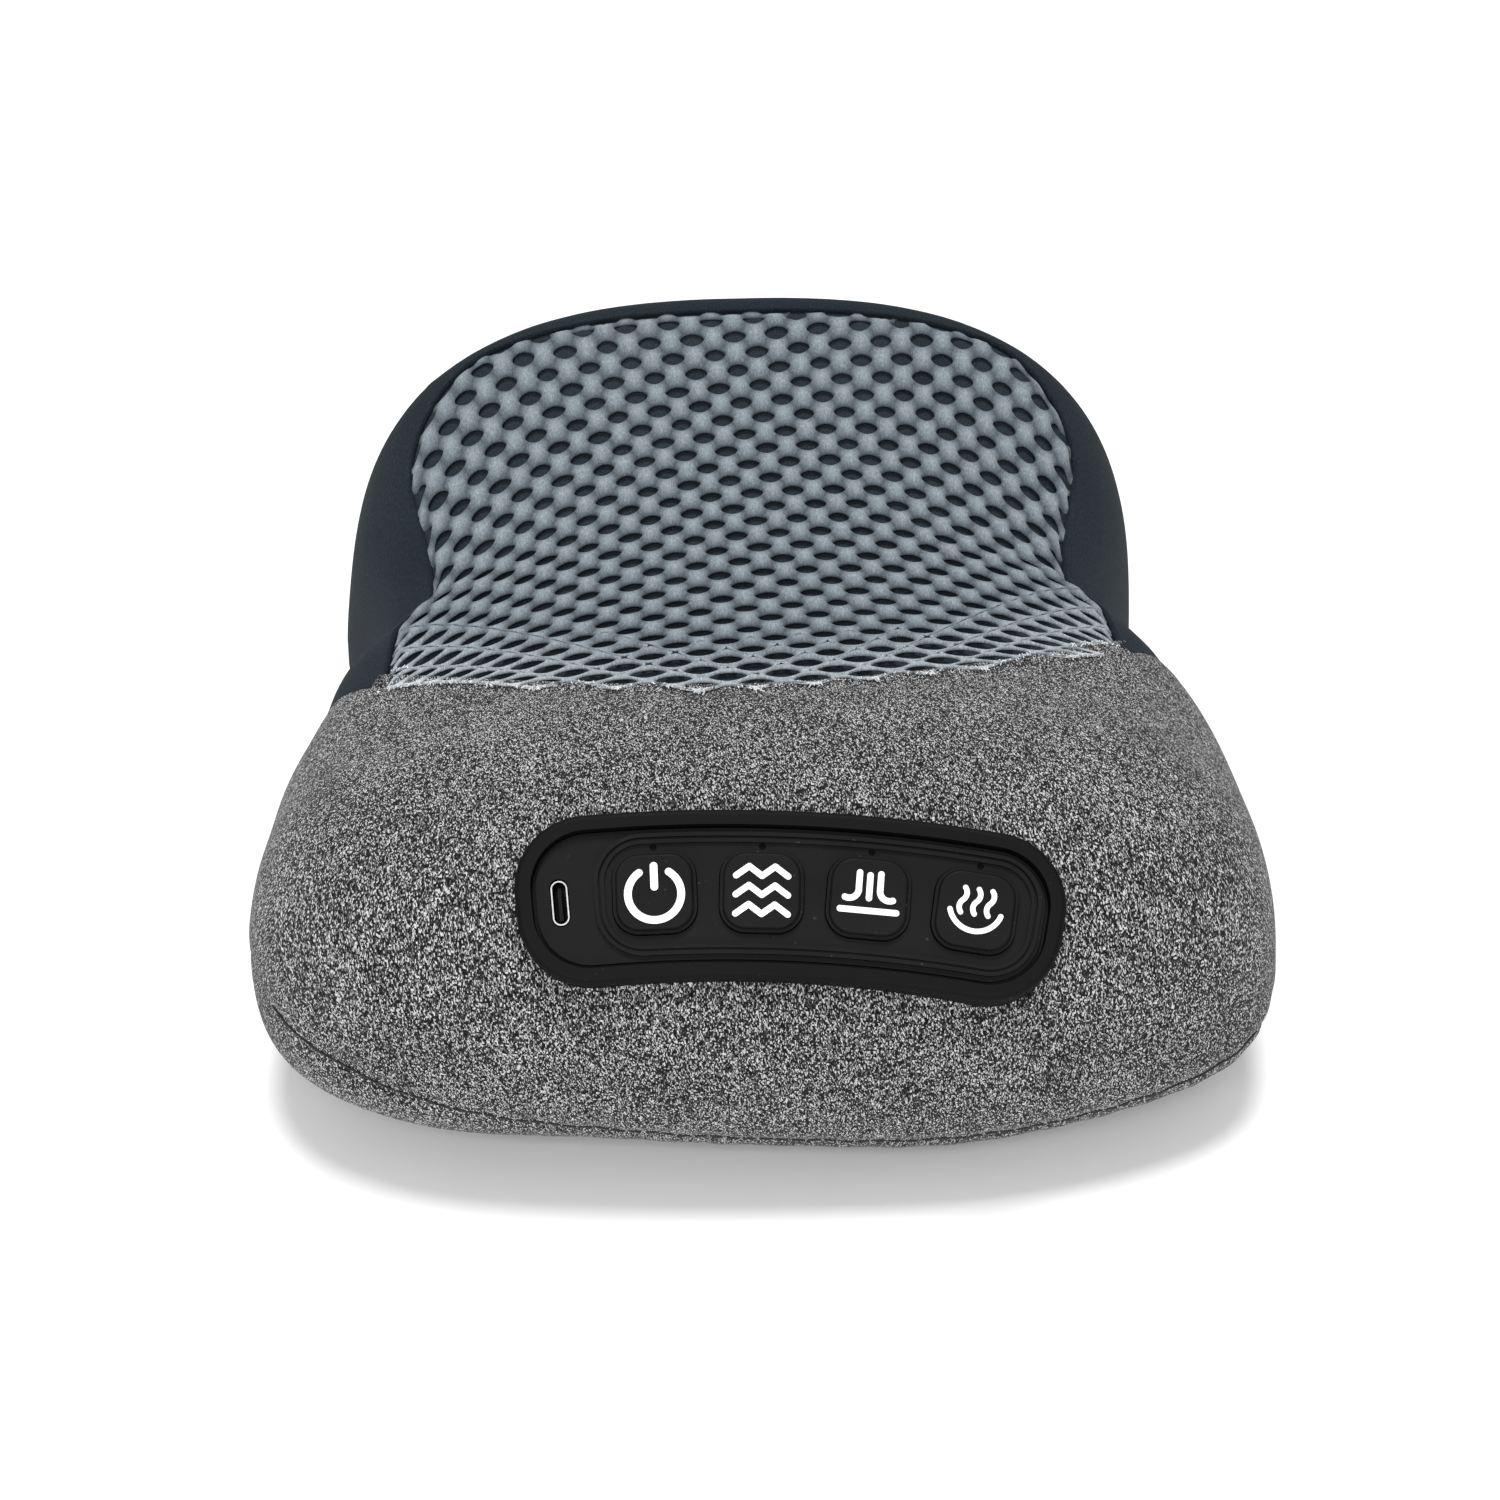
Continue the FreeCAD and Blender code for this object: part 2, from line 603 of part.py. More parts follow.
def make_rotor(side):
    """Two-armed plate on its shaft, with a post for a massage node on each arm."""
    shaft = disc(SHAFT_RADIUS, GEARBOX_LEVELS[0] + 1, WHEEL_LEVELS[1] + 0.5)
    journal = disc(JOURNAL_RADIUS, WHEEL_LEVELS[1] + 0.5, ROTOR_LEVELS[0])
    collar = disc(10.0, ROTOR_LEVELS[0] - 0.5, ROTOR_LEVELS[0])
    plate = disc(14.0, *ROTOR_LEVELS)
    arms = block(-ORBIT_RADIUS, ORBIT_RADIUS, -9, 9, *ROTOR_LEVELS)
    pieces = [journal, collar, plate, arms]
    for reach in (-ORBIT_RADIUS, ORBIT_RADIUS):
        pieces.append(disc(9.0, *ROTOR_LEVELS, reach, 0))
        pieces.append(disc(POST_RADIUS + 2.5, ROTOR_LEVELS[1], ROTOR_LEVELS[1] + 0.8, reach, 0))
        pieces.append(disc(POST_RADIUS, ROTOR_LEVELS[1], POST_TOP, reach, 0))
    rotor = shaft.fuse(pieces)
    for reach in (-ORBIT_RADIUS, ORBIT_RADIUS):
        rotor = rotor.cut(disc(SCREW_RADIUS, POST_TOP - 10, POST_TOP + 1, reach, 0))
    return placed(rotor.removeSplitter(), rotor_place(side))


def rotor_place(side):
    return MECH_FRAME.multiply(turned(side * WHEEL_OFFSET, 0, side * ROTOR_ANGLE))


def make_node(side, radius, reach):
    """Massage node: a ball with a flat foot, a bore for its post, a recess for its screw, six flutes."""
    ball = Part.makeSphere(radius, Vector(0, 0, NODE_LEVEL))
    foot = ROTOR_LEVELS[1] + 1.0
    ball = ball.cut(block(-20, 20, -20, 20, foot - 10, foot))
    ball = ball.cut([disc(POST_RADIUS + RUNNING_CLEARANCE + 0.1, -60, 0), disc(6.6, POST_TOP - 0.3, 0)])
    for i in range(6):
        angle = math.radians(60 * i)
        spot = Vector(math.cos(angle), math.sin(angle), 0) * (radius + 1.2)
        ball = ball.cut(disc(2.4, NODE_LEVEL - 20, NODE_LEVEL + 20, spot.x, spot.y))
    return placed(ball, rotor_place(side).multiply(turned(reach, 0, 0)))


def screw(x, y, seat, length, radius=SCREW_RADIUS, head=SCREW_HEAD):
    """Machine screw seen from its head: the head above the seat, the shank below, a cross slot."""
    top = disc(head[0], seat, seat + head[1], x, y)
    top = top.fuse(disc(radius, seat - length, seat, x, y))
    slot = head[0] * 0.62
    cross = [block(x - slot, x + slot, y - 0.35, y + 0.35, seat + head[1] * 0.5, seat + head[1] + 1),
             block(x - 0.35, x + 0.35, y - slot, y + slot, seat + head[1] * 0.5, seat + head[1] + 1)]
    return top.cut(cross)


def make_node_screws(side):
    for reach in (-ORBIT_RADIUS, ORBIT_RADIUS):
        yield placed(screw(reach, 0, POST_TOP, 10, head=(5.8, 2.2)), rotor_place(side))


def gearbox_outline(shrink, low, high):
    radius = GEARBOX_RADIUS - shrink
    shape = disc(radius, low, high, -WHEEL_OFFSET, 0)
    shape = shape.fuse(disc(radius, low, high, WHEEL_OFFSET, 0))
    return shape.fuse(block(-20 + shrink, 20 - shrink, -26 + 2 * shrink, 24 - shrink, low, high))


def along_v(radius, start, end, level=WORM_LEVEL, x=0.0):
    """Cylinder lying along the mechanism's v axis."""
    return Part.makeCylinder(radius, end - start, Vector(x, start, level), Vector(0, 1, 0))


def make_gearbox_lower():
    floor, split, _ = GEARBOX_LEVELS
    box = gearbox_outline(0, floor, split).cut(gearbox_outline(GEARBOX_WALL, floor + 2, split + 1))
    lugs = [disc(LUG_RADIUS, floor, floor + 4, x, y) for x, y in LUGS]
    box = box.fuse([lug.cut(gearbox_outline(GEARBOX_WALL, floor, split)) for lug in lugs])
    saddles = [block(-6, 6, v0, v1, floor + 2, WORM_LEVEL) for v0, v1 in ((-22.5, -17), (17, 22.5))]
    box = box.fuse(saddles)
    cuts = [disc(JOURNAL_RADIUS, floor - 1, floor + 3, side * WHEEL_OFFSET, 0) for side in (-1, 1)]
    cuts += [disc(SCREW_RADIUS + 0.1, floor - 1, floor + 6, x, y) for x, y in LUGS]
    cuts.append(worm_window(floor - 1, floor + 3))
    cuts.append(along_v(4.0, 17, 24))
    cuts.append(along_v(4.0, -24, -17))
    cuts.append(along_v(4.9, -27, -24))
    cuts += [along_v(1.25, -27, -20, WORM_LEVEL, x) for x in (-8.5, 8.5)]
    cuts += [disc(1.25, floor + 2, split + 1, x, y) for x, y in COVER_SCREWS]
    posts = [disc(3.5, floor, split, x, y) for x, y in COVER_SCREWS]
    return placed(box.fuse(posts).cut(cuts).removeSplitter(), MECH_FRAME)


def worm_window(low, high):
    half_width_, half_length = WORM_WINDOW
    return block(-half_width_, half_width_, -half_length, half_length, low, high)


def make_gearbox_upper():
    _, split, top = GEARBOX_LEVELS
    plate = gearbox_outline(0, split, top)
    plate = plate.fuse([disc(3.5, split, top, x, y) for x, y in COVER_SCREWS])
    cuts = [disc(9.0, split - 1, top + 1, side * WHEEL_OFFSET, 0) for side in (-1, 1)]
    cuts += [disc(1.35, split - 1, top + 1, x, y) for x, y in COVER_SCREWS]
    cuts.append(worm_window(split - 1, top + 1))
    return placed(plate.cut(cuts).removeSplitter(), MECH_FRAME)


def make_bushes():
    floor, split, top = GEARBOX_LEVELS
    for side in (-1, 1):
        x = side * WHEEL_OFFSET
        lower = disc(JOURNAL_RADIUS, floor, floor + 2, x, 0).fuse(disc(9.0, floor + 2, floor + 3, x, 0))
        lower = lower.cut(disc(SHAFT_RADIUS + RUNNING_CLEARANCE, floor - 1, floor + 4, x, 0))
        upper = disc(9.0, split, top, x, 0).fuse(disc(10.5, top, top + 0.8, x, 0))
        upper = upper.cut(disc(JOURNAL_RADIUS + RUNNING_CLEARANCE, split - 1, top + 2, x, 0))
        yield placed(lower, MECH_FRAME)
        yield placed(upper, MECH_FRAME)
    for v0, v1 in ((-24, -17), (17, 24)):
        bush = along_v(4.0, v0, v1).cut(along_v(MOTOR_SHAFT_RADIUS + RUNNING_CLEARANCE, v0 - 1, v1 + 1))
        yield placed(bush, MECH_FRAME)


def make_worm():
    """Single-start worm on the motor's shaft."""
    lead = math.pi * GEAR_MODULE
    slope = math.tan(math.radians(PRESSURE_ANGLE))
    core = WORM_PITCH_RADIUS - 1.2 * GEAR_MODULE
    outer = WORM_PITCH_RADIUS + GEAR_MODULE
    start = -WORM_LENGTH / 2
    turns = int(WORM_LENGTH / lead)
    first = -turns * lead / 2
    corners = []
    for radius, sign in ((core - 0.4, -1), (outer, -1), (outer, 1), (core - 0.4, 1)):
        half = TOOTH_THICKNESS / 2 - (radius - WORM_PITCH_RADIUS) * slope
        corners.append(Vector(radius, 0, sign * half))
    corners.append(corners[0])
    helix = Part.makeHelix(lead, turns * lead, WORM_PITCH_RADIUS)
    thread = Part.Wire(helix.Edges).makePipeShell([Part.makePolygon(corners)], True, True)
    thread.translate(Vector(0, 0, first))
    shaft = disc(core, start - 1.5, -start + 1.5)
    shaft = shaft.fuse(disc(MOTOR_SHAFT_RADIUS, MOTOR_SPAN[0] + 15, 23))
    worm = shaft.fuse(thread)
    upright = frame(Vector(0, 0, WORM_LEVEL), Vector(1, 0, 0), Vector(0, 0, -1))
    return placed(worm, MECH_FRAME.multiply(upright))


def make_motor():
    start, end = MOTOR_SPAN
    motor = along_v(MOTOR_RADIUS, start, end)
    motor = motor.makeChamfer(1.0, [e for e in motor.Edges if e.Closed and abs(e.BoundBox.YLength) < 1e-6])
    motor = motor.fuse(along_v(4.9, end, end + 2)).fuse(along_v(5.0, start - 2, start))
    terminals = [
        block(x - 1.5, x + 1.5, start - 3, start, WORM_LEVEL - 1.5, WORM_LEVEL + 1.5) for x in (-8, 8)
    ]
    motor = motor.fuse(terminals)
    cuts = [along_v(MOTOR_SHAFT_RADIUS + RUNNING_CLEARANCE, start + 14.5, end + 3)]
    cuts += [along_v(1.25, end - 4, end + 1, WORM_LEVEL, x) for x in (-8.5, 8.5)]
    return placed(motor.cut(cuts), MECH_FRAME)


def make_motor_screws():
    for x in (-8.5, 8.5):
        shape = screw(0, 0, 0, 5.5, radius=1.2, head=(2.2, 1.4))
        lying = frame(Vector(x, -22.0, WORM_LEVEL), Vector(1, 0, 0), Vector(0, 0, -1))
        yield placed(shape, MECH_FRAME.multiply(lying))


# ======================================================================================================
# Base, battery, boards
# ======================================================================================================
def below_gearbox(shape):
    """The part of a shape that lies under the gearbox lugs."""
    return shape.cut(placed(block(-150, 150, -150, 150, GEARBOX_LEVELS[0], 150), MECH_FRAME))


def lug_point(x, v):
    return MECH_FRAME.multVec(Vector(x, v, GEARBOX_LEVELS[0]))


def make_base_shell(outer, inner, mid_wall):
    dish = outer.cut(inner).common(block(-150, 150, -150, 150, 0, HOUSING_SPLIT_Z))
    root = (HOUSING_OUT[1] + HOUSING_IN[1]) / 2
    posts = [disc(4.0, root, HOUSING_SPLIT_Z, x, y) for x, y in HOUSING_SCREWS]
    for x, v in LUGS:
        point = lug_point(x, v)
        posts.append(below_gearbox(disc(LUG_RADIUS, root, point.z + 4, point.x, point.y)))
    posts += [disc(3.0, root, BOARD_CORNER.z, x, y) for x, y in board_corners()]
    posts.append(block(BUZZER_SPAN[0] + 2, BUZZER_SPAN[1] - 4, BUZZER_Y - 8, BUZZER_Y + 8, root, BUZZER_Z))
    base = dish.fuse([post.common(mid_wall) for post in posts])
    cuts = [disc(SCREW_RADIUS + 0.1, 0, HOUSING_SPLIT_Z + 1, x, y) for x, y in HOUSING_SCREWS]
    cuts += [disc(SCREW_HEAD[0] + 0.3, 0, SCREW_SEAT_Z, x, y) for x, y in HOUSING_SCREWS]
    cuts += [disc(1.0, HOUSING_IN[1], BOARD_CORNER.z + 1, x, y) for x, y in board_corners()]
    cuts += [placed(disc(SCREW_RADIUS, -72, GEARBOX_LEVELS[0] + 1, x, v), MECH_FRAME) for x, v in LUGS]
    cuts.append(Part.makeCylinder(BUZZER_RADIUS, 60, Vector(-100, BUZZER_Y, BUZZER_Z), Vector(1, 0, 0)))
    return base.cut(cuts).removeSplitter()


def make_top_shell(outer, inner, mid_wall):
    shell = outer.cut(inner).common(block(-150, 150, -150, 150, HOUSING_SPLIT_Z, 200))
    shell = shell.cut(chamber_prism(CHAMBER_RADIUS, -70, 40))
    bosses = [disc(4.0, HOUSING_SPLIT_Z, 140, x, y).common(mid_wall) for x, y in HOUSING_SCREWS]
    shell = shell.fuse(bosses)
    cuts = [disc(SCREW_RADIUS, HOUSING_SPLIT_Z - 1, SCREW_SEAT_Z + 22, x, y) for x, y in HOUSING_SCREWS]
    cuts += [placed(disc(1.2, -20, 0, x, y), PANEL_FRAME) for x, y in PANEL_SCREWS]
    cuts.append(placed(disc(3.0, -25, 0, 20, 0), PANEL_FRAME))
    cuts.append(disc(1.6, 50, 100, *HEATER_LEAD_SPOT))
    return shell.cut(cuts)


def chamber_prism(radius, low, high):
    """The stadium-shaped space in which the massage nodes travel."""
    shape = disc(radius, low, high, -WHEEL_OFFSET, 0).fuse(disc(radius, low, high, WHEEL_OFFSET, 0))
    shape = shape.fuse(block(-WHEEL_OFFSET, WHEEL_OFFSET, -radius, radius, low, high))
    return placed(shape, MECH_FRAME)


def board_corners():
    for dx in (5, BOARD_SIZE[0] - 5):
        for dy in (5, BOARD_SIZE[1] - 5):
            yield BOARD_CORNER.x + dx, BOARD_CORNER.y + dy


def make_main_board():
    x, y, z = BOARD_CORNER
    top = z + BOARD_SIZE[2]
    board = Part.makeBox(*BOARD_SIZE, BOARD_CORNER)
    chips = [block(x + 30, x + 42, y + 20, y + 32, top, top + 1.6),
             block(x + 52, x + 58, y + 18, y + 26, top, top + 1.4),
             block(x + 14, x + 22, y + 24, y + 34, top, top + 4.0),
             block(x + 72, x + 80, y + 8, y + 18, top, top + 5.0),
             block(x + 26, x + 54, y, y + 6, top, top + 4.5)]
    chips += [disc(3.0, top, top + 6.0, x + 62, y + place) for place in (30, 38)]
    board = board.fuse(chips)
    return board.cut([disc(1.1, z - 1, top + 1, *spot) for spot in board_corners()]).removeSplitter()


def make_board_screws():
    for x, y in board_corners():
        yield screw(x, y, BOARD_CORNER.z + BOARD_SIZE[2], 4.5, radius=1.0, head=(2.0, 1.3))


def cell_cylinder(radius, half_length, y):
    return Part.makeCylinder(radius, 2 * half_length, Vector(-half_length, y, CELL_Z), Vector(1, 0, 0))


def make_cells():
    for y in CELL_PLACES:
        can = cell_cylinder(CELL_RADIUS, CELL_LENGTH / 2, y)
        yield can.makeFillet(0.8, [e for e in can.Edges if e.Closed])


def make_cell_holder(inner):
    half = CELL_LENGTH / 2
    front = CELL_PLACES[1] - CELL_RADIUS - 1.5
    back = CELL_PLACES[0] + CELL_RADIUS + 1.5
    tray = block(-half - 2.5, half + 2.5, front, back, HOUSING_IN[1], CELL_Z - 3)
    for x in (-half - 2.5, half + 0.3):
        tray = tray.fuse(block(x, x + 2.2, front, back, HOUSING_IN[1], CELL_Z + 7))
    tray = tray.common(inner)
    return tray.cut([cell_cylinder(CELL_RADIUS + 0.15, half + 0.2, y) for y in CELL_PLACES])


def make_buzzer():
    start, end = BUZZER_SPAN
    centre = Vector(start, BUZZER_Y, BUZZER_Z)
    can = Part.makeCylinder(BUZZER_RADIUS - 0.1, end - start, centre, Vector(1, 0, 0))
    can = can.fuse(Part.makeCylinder(2.0, 1.0, Vector(end, BUZZER_Y, BUZZER_Z), Vector(1, 0, 0)))
    return can.cut(Part.makeCylinder(1.05, 12, Vector(end - 8, BUZZER_Y, BUZZER_Z), Vector(1, 0, 0)))


def make_buzzer_weight():
    """Half-round weight on the vibration motor's shaft."""
    end = BUZZER_SPAN[1]
    shaft = Part.makeCylinder(1.0, 14.5, Vector(end - 7.5, BUZZER_Y, BUZZER_Z), Vector(1, 0, 0))
    disc_part = Part.makeCylinder(5.5, 5, Vector(end + 1.5, BUZZER_Y, BUZZER_Z), Vector(1, 0, 0))
    half = disc_part.cut(block(end, end + 8, BUZZER_Y - 8, BUZZER_Y + 8, BUZZER_Z + 1.6, BUZZER_Z + 8))
    return shaft.fuse(half)


def make_leads():
    """Battery, motor, panel and heater leads, each held along its whole length."""
    wire = 0.9
    x, y, z = BOARD_CORNER
    board_top = z + BOARD_SIZE[2] + 2.0
    battery_way = [
        Vector(CELL_LENGTH / 2 + 2.6, -56, 27),
        Vector(46, -56, 27),
        Vector(50, -44, 14),
        Vector(50, 10, 14),
        Vector(50, y + 13, board_top),
        Vector(x + 80.1, y + 13, board_top),
    ]
    yield tube(battery_way, wire, 4)
    back = MECH_FRAME.multVec(Vector(-8, MOTOR_SPAN[0] - 3.1, WORM_LEVEL))
    yield tube([back, Vector(-8, back.y - 8, back.z - 3), Vector(-8, back.y - 8, 12), Vector(-8, 2, 12),
                Vector(-8, y - 4, board_top), Vector(-8, y - 0.1, board_top)], wire, 3)
    exit_point = PANEL_FRAME.multVec(Vector(20, 0, PANEL_BOARD[0] - 0.1))
    past_shell = PANEL_FRAME.multVec(Vector(20, 0, -29))
    yield tube([exit_point, past_shell, Vector(12, -40, 42), Vector(9, -39, 12), Vector(9, 2, 12),
                Vector(9, y - 4, board_top), Vector(9, y - 0.1, board_top)], wire, 3)
    heater_x, heater_y = HEATER_LEAD_SPOT
    film_under = crown(heater_y) - FILM[1] - 0.6
    yield tube([Vector(heater_x, heater_y, film_under), Vector(heater_x, heater_y, 12), Vector(0, 2, 12),
                Vector(0, y - 4, board_top), Vector(0, y - 0.1, board_top)], wire, 3)


# ======================================================================================================
# Build
# ======================================================================================================
def build_soft_parts(skin):
    skin_inner = pillow(*SKIN_IN)
    shell = skin.cut(skin_inner)
    above_seam = block(-150, 150, -150, 150, SEAM_Z, 200)
    covers = shell.common(above_seam)
    panel_hole = placed(panel_prism(1.8, -20, 20), PANEL_FRAME)
    export("knit_cover", covers.cut([sew_cylinder(0, -1, 200), panel_hole]))
    export("rear_cover", covers.common(sew_cylinder(0, -1, 200)).cut(net_prism(0)))
    export("bottom_panel", shell.cut(above_seam))
    export("mesh_net", skin.cut(pillow(NET_THICKNESS, 1.0)).common(net_prism(0.2)))
    export("mesh_lining", pillow(LINING[0], 1.2).cut(pillow(LINING[1], 1.9)).common(net_prism(0.5)))
    film_area = net_prism(12)
    export("heating_film", pillow(FILM[0], 2.4).cut(pillow(FILM[1], 2.8)).common(film_area))


def build_foam():
    foam = pillow(*FOAM_OUT).cut(pillow(*FOAM_IN))
    film_space = pillow(1.0, 0.5).cut(pillow(FILM[1] + 0.3, 0.5)).common(net_prism(-0.5))
    tub_space = placed(panel_prism(-0.3, -20, 10), PANEL_FRAME)
    lead_space = disc(1.6, 40, 100, *HEATER_LEAD_SPOT)
    foam = foam.cut([film_space, tub_space, chamber_prism(CHAMBER_RADIUS, -70, 40), lead_space])
    head_room = [disc(SCREW_HEAD[0] + 0.3, 0, SCREW_SEAT_Z, x, y) for x, y in HOUSING_SCREWS]
    foam = foam.cut(head_room)
    gap = FOAM_GAP / 2
    export("foam_front_lobe", foam.common(block(-150, 150, -150, FOAM_FRONT_Y - gap, 0, 200)))
    export("foam_rear_lobe", foam.common(block(-150, 150, FOAM_REAR_Y + gap, 150, 0, 200)))
    sides = (("left", -150, -gap), ("right", gap, 150))
    for name, x0, x1 in sides:
        piece = foam.common(block(x0, x1, FOAM_FRONT_Y + gap, FOAM_REAR_Y - gap, 0, 200))
        export("foam_" + name + "_side", piece)


def build_panel(skin):
    export("panel_bezel", make_bezel(skin))
    export("panel_frame", make_panel_frame(pillow(2.3, 2.0)))
    export("keypad_sheet", make_keypad_sheet())
    for name, spot in button_spots():
        cap, marks = make_button(name, spot)
        export("button_" + name, cap)
        export("icon_" + name, *marks)
    board = panel_prism(RIM_WIDTH + 1.8, *PANEL_BOARD)
    export("panel_board", placed(board, PANEL_FRAME))
    export("tact_switches", *make_tact_switches())
    lamps = [disc(STATUS_RADIUS, PANEL_BOARD[1], SHEET_TOP - 0.25, *spot) for spot in status_spots()]
    export("status_lamps", *[placed(lamp, PANEL_FRAME) for lamp in lamps])
    export("usb_inlet", make_inlet())
    screws = [placed(screw(x, y, TUB_FLOOR[1], 5, radius=1.2, head=(2.4, 1.4)), PANEL_FRAME)
              for x, y in PANEL_SCREWS]
    export("panel_screws", *screws)


def build_mechanism():
    for name, side in (("left", -1), ("right", 1)):
        export("rotor_" + name, make_rotor(side))
        export("worm_wheel_" + name, make_wheel(side))
        export("node_large_" + name, make_node(side, NODE_RADII[0], side * ORBIT_RADIUS))
        export("node_small_" + name, make_node(side, NODE_RADII[1], -side * ORBIT_RADIUS))
        export("node_screws_" + name, *make_node_screws(side))
    export("gearbox_lower", make_gearbox_lower())
    export("gearbox_upper", make_gearbox_upper())
    export("shaft_bushes", *make_bushes())
    export("worm_shaft", make_worm())
    export("drive_motor", make_motor())
    fasteners = list(make_motor_screws())
    fasteners += [placed(screw(x, y, GEARBOX_LEVELS[2], 9, radius=1.25, head=(2.4, 1.4)), MECH_FRAME)
                  for x, y in COVER_SCREWS]
    fasteners += [placed(screw(x, y, GEARBOX_LEVELS[0] + 4, 12), MECH_FRAME) for x, y in LUGS]
    export("gearbox_screws", *fasteners)


def build_chassis(outer, inner):
    mid_wall = pillow((HOUSING_OUT[0] + HOUSING_IN[0]) / 2, (HOUSING_OUT[1] + HOUSING_IN[1]) / 2)
    export("base_shell", make_base_shell(outer, inner, mid_wall))
    export("top_shell", make_top_shell(outer, inner, mid_wall))
    flipped = FreeCAD.Rotation(Vector(1, 0, 0), 180)
    screws = []
    for x, y in HOUSING_SCREWS:
        at = FreeCAD.Placement(Vector(x, y, SCREW_SEAT_Z), flipped)
        screws.append(placed(screw(0, 0, 0, 21), at))
    export("housing_screws", *screws)
    export("main_board", make_main_board())
    export("board_screws", *make_board_screws())
    export("battery_cells", *make_cells())
    export("battery_holder", make_cell_holder(inner))
    export("vibration_motor", make_buzzer())
    export("vibration_weight", make_buzzer_weight())
    export("internal_leads", *make_leads())


SKIN = pillow(0, 0)
HOUSING_SOLID = pillow(*HOUSING_OUT)
HOUSING_SPACE = pillow(*HOUSING_IN)
build_soft_parts(SKIN)
build_foam()
build_panel(SKIN)
build_mechanism()
build_chassis(HOUSING_SOLID, HOUSING_SPACE)
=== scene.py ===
import math

import bmesh
import bpy
import numpy as np
from mathutils import Matrix, Vector
from mathutils.bvhtree import BVHTree
from mathutils.kdtree import KDTree


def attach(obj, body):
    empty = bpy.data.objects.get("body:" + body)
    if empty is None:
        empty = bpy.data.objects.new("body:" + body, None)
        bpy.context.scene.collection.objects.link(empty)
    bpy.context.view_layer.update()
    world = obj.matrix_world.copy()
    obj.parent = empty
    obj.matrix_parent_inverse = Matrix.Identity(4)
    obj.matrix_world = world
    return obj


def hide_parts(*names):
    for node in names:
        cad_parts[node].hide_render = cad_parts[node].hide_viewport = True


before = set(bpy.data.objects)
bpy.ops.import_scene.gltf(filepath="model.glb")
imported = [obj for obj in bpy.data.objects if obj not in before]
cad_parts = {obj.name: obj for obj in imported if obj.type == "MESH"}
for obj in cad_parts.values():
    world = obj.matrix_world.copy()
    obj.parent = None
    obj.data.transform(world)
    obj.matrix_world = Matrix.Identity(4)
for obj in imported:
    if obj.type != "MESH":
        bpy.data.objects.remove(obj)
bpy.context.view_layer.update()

MM = 0.001
ROOT_BODY = "base"

# ---- The pillow's surface, in millimetres: the same outline that the CAD model is lofted on ----
FRONT_Y = -111.5
BACK_Y = 111.5
LOBE_Y = -37.5
WAIST_Y = 21.0
SHOULDER_Y = 75.0
LOBE_HALF_WIDTH = 113.5
WAIST_HALF_WIDTH = 95.5
SHOULDER_HALF_WIDTH = 105.7
CREST_Y = -42.5
CREST_Z = 85.7
SUMMIT_Y = 78.5
SUMMIT_Z = 132.7
RAMP_POWER = 1.93
EQUATOR_FRONT_Z = 32.0
EQUATOR_REAR_Z = 48.0
FRONT_PLAN_POWER = 2.94
BACK_PLAN_POWER = 2.74
FRONT_NOSE_POWER = 2.02
BACK_NOSE_POWER = 2.39
WAIST_POWER = 3.58
TOP_POWERS_FRONT = (2.67, 2.52)
TOP_POWERS_REAR = (2.62, 3.12)
BELLY_POWER = 3.03
SEW_CENTRE = (-3.0, 92.0)
SEW_RADIUS = 134.0
NET_MARGIN = 17.5          # slate cloth between the net and the widest line of the side
NET_BACK_Y = 85.0
NET_CORNER = 22.0
NET_HALF_WIDTH = 86.0      # the net never flares wider than this
KNIT_TURNED_UNDER = 3.6    # the knit's edge carries on this far under the net
FOOT_Z = 4.0               # the flat underside's piece ends here

# ---- Local fullness of the stuffing: where, how wide, how far out (mm) ----
FULLNESS = (
    ((-45, -100, 11), 30, -2.8),
    ((34, -100, 10), 26, 1.8),
    ((98, -84, 19), 18, 1.8),
    ((-85, -91, 15), 18, -1.0),
    ((111, -60, 45), 22, -1.3),
    ((104, 66, 66), 26, -1.3),
    ((-105, 66, 48), 18, 2.4),
    ((-97, 12, 70), 10, 1.2),
    ((-106, -4, 63), 14, -1.5),
)

# ---- The control panel's frame ----
PANEL_CENTRE = np.array([3.2, -95.3, 65.2])
PANEL_ELEVATION = math.radians(43.0)
PANEL_TURN = math.radians(-4.3)
ARCH_RADIUS = 300.0
PANEL_HALF_LENGTH = 53.8
PANEL_HALF_HEIGHT = 17.0
PANEL_CORNER = 14.5

# ---- The net: rows counted up the ramp, columns across, from the cell in its middle ----
NET_PITCH = 10.1           # hole to hole across, at the waist
NET_SPREAD = 0.008         # how much wider the cells are pulled away from the waist
NET_WAIST_ROW = 5.5
NET_MIDDLE = 57.4          # way up the ramp to row 0
NET_ROW = 4.52
NET_ROW_GROWTH = 0.033
NET_SKEW = 0.085
NET_DRIFT = -0.25
NET_THICKNESS = 0.65

# ---- The camera ----
TARGET = Vector((0.0, 0.0, 0.060))
CAMERA_DISTANCE = 0.4916
CAMERA_ELEVATION = math.radians(25.39)
CAMERA_AZIMUTH = math.radians(-1.9)
CAMERA_ROLL = math.radians(-0.86)
CAMERA_LENS = 49.2
CAMERA_SHIFT = (-0.0035, -0.0240)


# ---- Surface ----
def smooth(a, b, s):
    s = np.clip(s, 0.0, 1.0)
    return a + (b - a) * s * s * (3 - 2 * s)


def quarter(s, power):
    s = np.clip(s, 0.0, 1.0)
    return (1 - s ** power) ** (1 / power)


def equator(y):
    return smooth(EQUATOR_FRONT_Z, EQUATOR_REAR_Z, (y - LOBE_Y) / (SHOULDER_Y - LOBE_Y))


